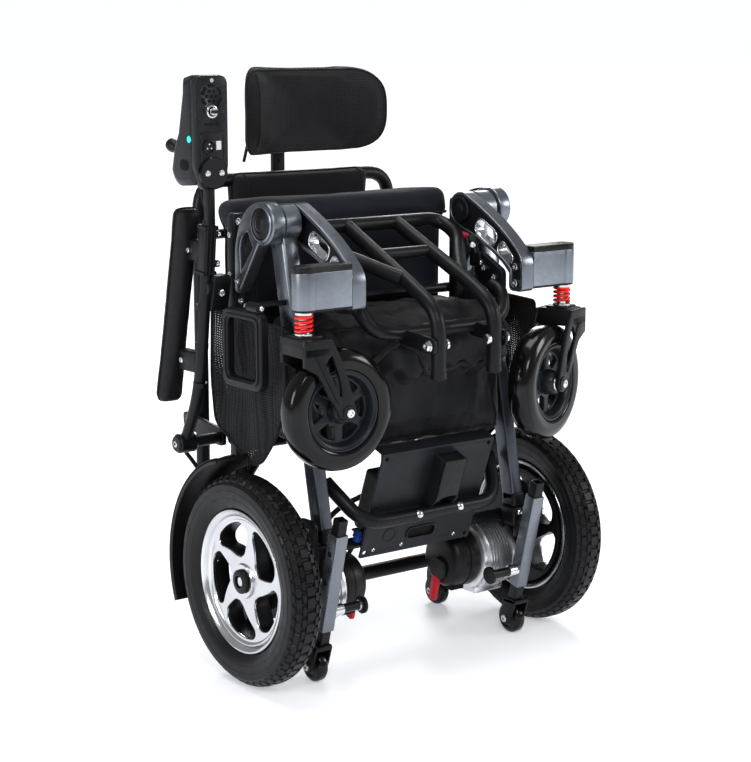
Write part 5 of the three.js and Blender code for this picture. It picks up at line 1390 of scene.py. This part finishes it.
def make_headrest():
    """A pad of spacer mesh, curved round the head and piped along its front and back edges."""
    rings, steps = [], 14
    for depth in range(steps + 1):
        t = depth / steps
        bulge = math.sin(math.pi * t) ** 0.55
        inset = 7 * (1 - bulge) + 2
        ring = []
        for x, z in head_outline(inset):
            y = head_front(x) + 3 + (head_back(x) - head_front(x) - 6) * t
            ring.append(Vector((x, y, z)))
        rings.append(ring)
    count = len(rings[0])
    spots = [spot for ring in rings for spot in ring]
    faces = [(i * count + j, i * count + (j + 1) % count, (i + 1) * count + (j + 1) % count,
              (i + 1) * count + j) for i in range(steps) for j in range(count)]
    for end in (0, steps):
        ring = rings[end]
        previous = list(range(end * count, end * count + count))
        for share in (0.8, 0.6, 0.4, 0.2):
            start = len(spots)
            for spot in ring:
                x, z = spot.x * share, HEAD_Z + (spot.z - HEAD_Z) * share
                crown = 4 * (1 - share ** 2)
                y = head_front(x) + 3 - crown if end == 0 else head_back(x) - 3 + crown * 0.5
                spots.append(Vector((x, y, z)))
            current = list(range(start, start + count))
            for j in range(count):
                k = (j + 1) % count
                faces.append((previous[j], previous[k], current[k], current[j]))
            previous = current
        spots.append(sum((spots[i] for i in previous), Vector()) / count)
        faces += [(previous[j], previous[(j + 1) % count], len(spots) - 1) for j in range(count)]
    pad = soft("headrest_cover", "headrest", "mesh_fabric", "headrest_pad", [(spots, faces)], SPACER,
               pressure=4, cap=5, voxel=5, creases=0.7, grain=70)
    edge = [(x, head_front(x) + 5, z) for x, z in head_outline(3)]
    seam(pad, "headrest_piping", edge, 1.3, 0.5, closed=True)
    rear = [(x, head_back(x) - 6, z) for x, z in head_outline(4)]
    seam(pad, "headrest_back_piping", rear, 1.3, 0.5, closed=True)
    depth = head_front(112)
    seam(pad, "headrest_side_seam", [(-112, depth, 780), (-115, depth, 838), (-112, depth, 897)], 1.2, 0.5)
    ears = Piece("headrest_ears", "headrest", "powder_black")
    ear = rounded([(270, 832), (270, 812), (324, 811), (333, 822), (324, 833)], 5)
    ears.both(BLACK, flat(ear, 12.6, 20.4, edge=1.2))
    ears.both(STEEL, bolt((20.2, POST_Y, TILT_Z), X, 6.4, 4, 6))
    ears.done()


def make_arm_pad(side, sign):
    """The armrest's pad, piped along its edge. It stands upright while the chair is folded."""
    run = PAD_BOTTOM - PAD_TOP
    length = run.length
    shape = moved(box((-20, -14, 4), (20, 14, length - 4), 9, 4),
                  laid((ARM_X + 6, *PAD_TOP), (ARM_X + 6, *PAD_BOTTOM)))
    pad = soft(side + "_arm_cover", side + "_armrest", "arm_vinyl", side + "_armrest_pad", [shape], SKIN,
               sign=sign, pressure=4, cap=4, voxel=5, creases=0.5, grain=40)
    middle_top = Vector((0, *PAD_TOP))
    down = Vector((0, *run)).normalized()
    corners = []
    for x, z in rounded([(-20, 3), (20, 3), (20, length - 3), (-20, length - 3)], 10):
        spot = middle_top + down * z
        corners.append(((ARM_X + 6 + x) * sign, spot.y, spot.z))
    seam(pad, side + "_arm_piping", corners, 1.2, 0.4, closed=True)


def make_bag():
    """An empty nylon bag hung under the seat. Its front sags in folds."""
    outline = rounded([(-62, 336), (112, 342), (112, 534), (-28, 545), (-58, 518)], 24)
    shape = flat(outline, -166, 166, edge=14, rounds=4)

    def sag(spot):
        """How far the upper layer hangs forward over the lower one."""
        x, y, z = spot
        if y > 20:
            return 0.0
        edge = 446 + 34 * noise.noise(Vector((x / 66, 3.1, 0))) + 20 * noise.noise(Vector((x / 22, 7.7, 0)))
        edge += abs(x) * 0.12
        over = min(1.0, max(0.0, (z - edge) / 7)) * min(1.0, max(0.0, (565 - z) / 50))
        clear = min(1.0, max(0.0, (x + 96) / 26)) if z < 532 else 1.0
        return over * clear * (22 + 10 * noise.noise(Vector((x / 34, 1.3, z / 60))))

    bag = soft("bag_cover", "seat", "bag_fabric", "under_seat_bag", [shape], NYLON, pressure=3, cap=6,
               voxel=5, creases=5.0, grain=58, across=(1.6, 0.8, 0.5), soften=2, sag=sag)
    fold = [(-104, -70, 474), (-55, -76, 506), (-20, -76, 470), (22, -76, 447), (70, -76, 470),
            (102, -76, 461), (152, -72, 500)]
    seam(bag, "bag_fold", fold, 4.5, 0.5, bend=8, material=NYLON)
    hem = [(-160, -68, 346), (-60, -74, 344), (60, -74, 344), (160, -68, 346)]
    seam(bag, "bag_hem", hem, 1.5, 0.4, bend=30)
    for x in (-150, 150):
        seam(bag, f"bag_side_{x}", [(x, -30, 545), (x, -66, 516), (x, -78, 344)], 1.3, 0.5, bend=12)


def make_side_panel(side, sign):
    """Breathable mesh stretched between the armrest and the frame, with a bound hem."""
    outline = rounded([(146, 546, 6), (150, 440, 20), (140, 372, 14), (40, 322, 16), (14, 330, 12),
                       (-34, 386, 40), (-52, 462, 30), (-44, 538, 6)], 8, 8)
    piece = Piece(side + "_mesh", side + "_armrest", "mesh_fabric", side + "_side_panel", sign=sign)
    spots, faces = flat(outline, 241.8, 243.2, edge=0.3)
    made = bmesh.new()
    corners = [made.verts.new(s) for s in spots]
    for face in faces:
        try:
            made.faces.new([corners[i] for i in face])
        except ValueError:
            pass
    cuts = [(Y * y, Y) for y in range(-50, 150, 9)] + [(Z * z, Z) for z in range(324, 548, 9)]
    for spot, normal in cuts:
        everything = made.verts[:] + made.edges[:] + made.faces[:]
        bmesh.ops.bisect_plane(made, geom=everything, plane_co=spot, plane_no=normal)
    for vertex in made.verts:
        y, z = vertex.co.y, vertex.co.z
        slack = 1.0  # the mesh hangs freer away from its hem
        for gap in ((y + 55) / 40, (152 - y) / 40, (z - 322) / 50, (550 - z) / 40):
            slack *= min(1, max(0, gap))
        vertex.co.x += slack * 7 * noise.noise(Vector((y / 46, z / 90, 4.0)))
    made.verts.index_update()
    shape = ([v.co.copy() for v in made.verts], [tuple(v.index for v in f.verts) for f in made.faces])
    made.free()
    piece.put(NET, shape)
    path = [Vector((242.5, y, z)) for y, z in outline]
    piece.put(PIPING, sweep(path, 2.6, 10, closed=True))
    piece.done(60)


# ------------------------------------------------------------------ small fittings and cables
def make_fittings():
    """A latch beside the left arm and the small bar under the headrest."""
    latch = Piece("fold_latch", "front_frame", "powder_black")
    latch.put(BLACK, box((136, -34, 598), (146, -8, 622), 3), rod((141, -22, 612), (141, -6, 646), 6))
    latch.put(LEVER, box((132, 2, 640), (142, 12, 650), 2))
    latch.put(STEEL, bolt((136, -16, 632), (-0.5, -1, 0), 4.6, 4), bolt((139, -34, 606), -Y, 4.6, 4))
    latch.put(BLACK, rod((139, -8, 636), (152, -8, 636), 7)).done()
    strap = Piece("headrest_strap_bar", "headrest", "powder_black", sign=-1)
    strap.put(BLACK, rod((104, 250, 792), (106, 262, 756), 2.6),
              rod((104, 250, 792), (98, 262, 806), 2.6)).done()


def make_cables():
    """The control unit's cable, in two lengths so that the armrest can turn, and the motors' cables."""
    joy = Piece("control_cable", "right_armrest", "black_plastic", sign=-1)
    run = [(ARM_X - 9, 104, 640), (ARM_X - 11, 118, 560), (ARM_X - 11, 126, 470), (ARM_X - 11, 142, 400),
           (ARM_X - 6, 178, 352)]
    joy.put(RUBBER, tube(run, 3.4, 40, 14)).done()
    tail = Piece("control_cable_tail", "backrest", "black_plastic", sign=-1)
    tail.put(RUBBER, tube([(ARM_X - 6, 180, 350), (ARM_X - 22, 214, 318), (236, 216, 292), (222, 206, 262)],
                          3.4, 26, 14)).done()
    loom = Piece("motor_cables", "rear_frame", "black_plastic")
    for sign, x in ((1, 126), (-1, -126)):
        loom.put(RUBBER, tube([(x, 14, 178), (x * 0.98, 30, 206), (x * 0.8, 22, 236), (x * 0.5, -10, 262)],
                              4.2, 26, 14))
        loom.put(RUBBER, tube([(x * 0.9, -18, 166), (x * 0.84, -34, 196), (x * 0.62, -30, 226),
                               (x * 0.4, -22, 250)], 3.4, 26, 14))
    gland = [(0, 0), (0, 7), (6, 7), (7, 9), (16, 9), (18, 7), (18, 0)]
    loom.put(hard("gland_blue", (0.02, 0.08, 0.42), 0.4), turned((-104, -34, 196), (0.4, 0, 1), gland, 28))
    loom.done()


# ------------------------------------------------------------------ studio
CAMERA, CAMERA_AIM, LENS = (-1767.3, -2273.0, 965.5), (-26.5, 20.1, 428.4), 89.43307
LAMPS = (  # name, place in metres, size in metres, watts
    ("key", (-1.6, -3.0, 2.8), 1.0, 52),
    ("side", (-3.4, -0.2, 1.5), 1.1, 42),
    ("rim", (1.9, 2.4, 2.2), 1.2, 42),
    ("front", (2.6, -2.2, 1.6), 0.9, 34),
    ("top", (0, 0.2, 3.4), 1.6, 46),
)
SKY_SEEN, SKY_LIGHT = 1.02, 0.36  # the sky's strength to the camera and to everything else


def studio():
    """A white floor that glows more with distance, a sky, five soft lamps and the camera."""
    floor_nodes = Nodes("floor")
    tone = floor_nodes.spread(floor_nodes.noise(0.8), 0, 1)
    paint = floor_nodes.mix(tone, (0.86, 0.88, 0.92, 1), (0.90, 0.91, 0.94, 1))
    away = floor_nodes.add("ShaderNodeVectorMath", operation="LENGTH")
    floor_nodes.link(floor_nodes.where, away.inputs[0])
    floor_nodes.set(Base_Color=paint, Roughness=0.42, Emission_Color=paint)
    floor_nodes.set(Emission_Strength=floor_nodes.spread(away.outputs["Value"], 0.42, 1.0, 0.9, 3.2))
    made = bmesh.new()
    bmesh.ops.create_grid(made, x_segments=2, y_segments=2, size=30)
    mesh = bpy.data.meshes.new("floor")
    made.to_mesh(mesh)
    made.free()
    mesh.materials.append(floor_nodes.material)
    floor = bpy.data.objects.new("floor", mesh)
    bpy.context.scene.collection.objects.link(floor)
    world = bpy.data.worlds.new("studio")
    world.use_nodes = True
    tree = world.node_tree
    seen = tree.nodes.new("ShaderNodeLightPath").outputs["Is Camera Ray"]
    level = tree.nodes.new("ShaderNodeMapRange")
    level.inputs["To Min"].default_value = SKY_LIGHT
    level.inputs["To Max"].default_value = SKY_SEEN
    tree.links.new(seen, level.inputs["Value"])
    sky = tree.nodes["Background"]
    sky.inputs["Color"].default_value = (0.97, 0.98, 1.0, 1)
    tree.links.new(level.outputs["Result"], sky.inputs["Strength"])
    bpy.context.scene.world = world
    bpy.context.scene.view_settings.view_transform = "Standard"
    for name, spot, size, power in LAMPS:
        light = bpy.data.lights.new(name, "AREA")
        light.size = size
        light.energy = power
        lamp = bpy.data.objects.new(name, light)
        lamp.location = spot
        lamp.rotation_euler = (Vector((0, 0, 0.45)) - Vector(spot)).to_track_quat("-Z", "Y").to_euler()
        bpy.context.scene.collection.objects.link(lamp)
    camera = bpy.data.cameras.new("camera")
    camera.sensor_width = 36.0
    camera.lens = LENS
    camera.clip_end = 60
    eye = bpy.data.objects.new("camera", camera)
    eye.location = place(*CAMERA)
    look = place(*CAMERA_AIM) - eye.location
    eye.rotation_euler = look.to_track_quat("-Z", "Y").to_euler()
    bpy.context.scene.collection.objects.link(eye)
    bpy.context.scene.camera = eye


for side, sign in SIDES:
    make_arm(side, sign)
    make_housing(side, sign)
    make_caster(side, sign, CASTER_TURNS[side])
    make_strut(side, sign)
    make_motor(side, sign)
    make_lever(side, sign)
    make_fender(side, sign)
    make_sleeve(side, sign)
    make_anti_tip(side, sign)
    make_small_wheel(side, sign, "anti_tip", SMALL_FRONT)
    make_small_wheel(side, sign, "transport", SMALL_REAR)
    make_tyre(side, sign)
    make_rim(side, sign)
    make_casting(side, sign)
    make_stay(side, sign)
    make_arm_frame(side, sign)
    make_arm_pad(side, sign)
    make_side_panel(side, sign)
make_cross_tube()
make_footrest()
make_base()
make_plate()
make_bumper()
make_seat_frame()
make_back_frame()
make_post()
make_joystick_box()
make_stick()
make_side_handle()
make_seat()
make_back()
make_headrest()
make_bag()
make_cables()
make_fittings()
battery = frame["nodes"]["battery_pack"].data
battery.materials.clear()
battery.materials.append(BATTERY)
studio()
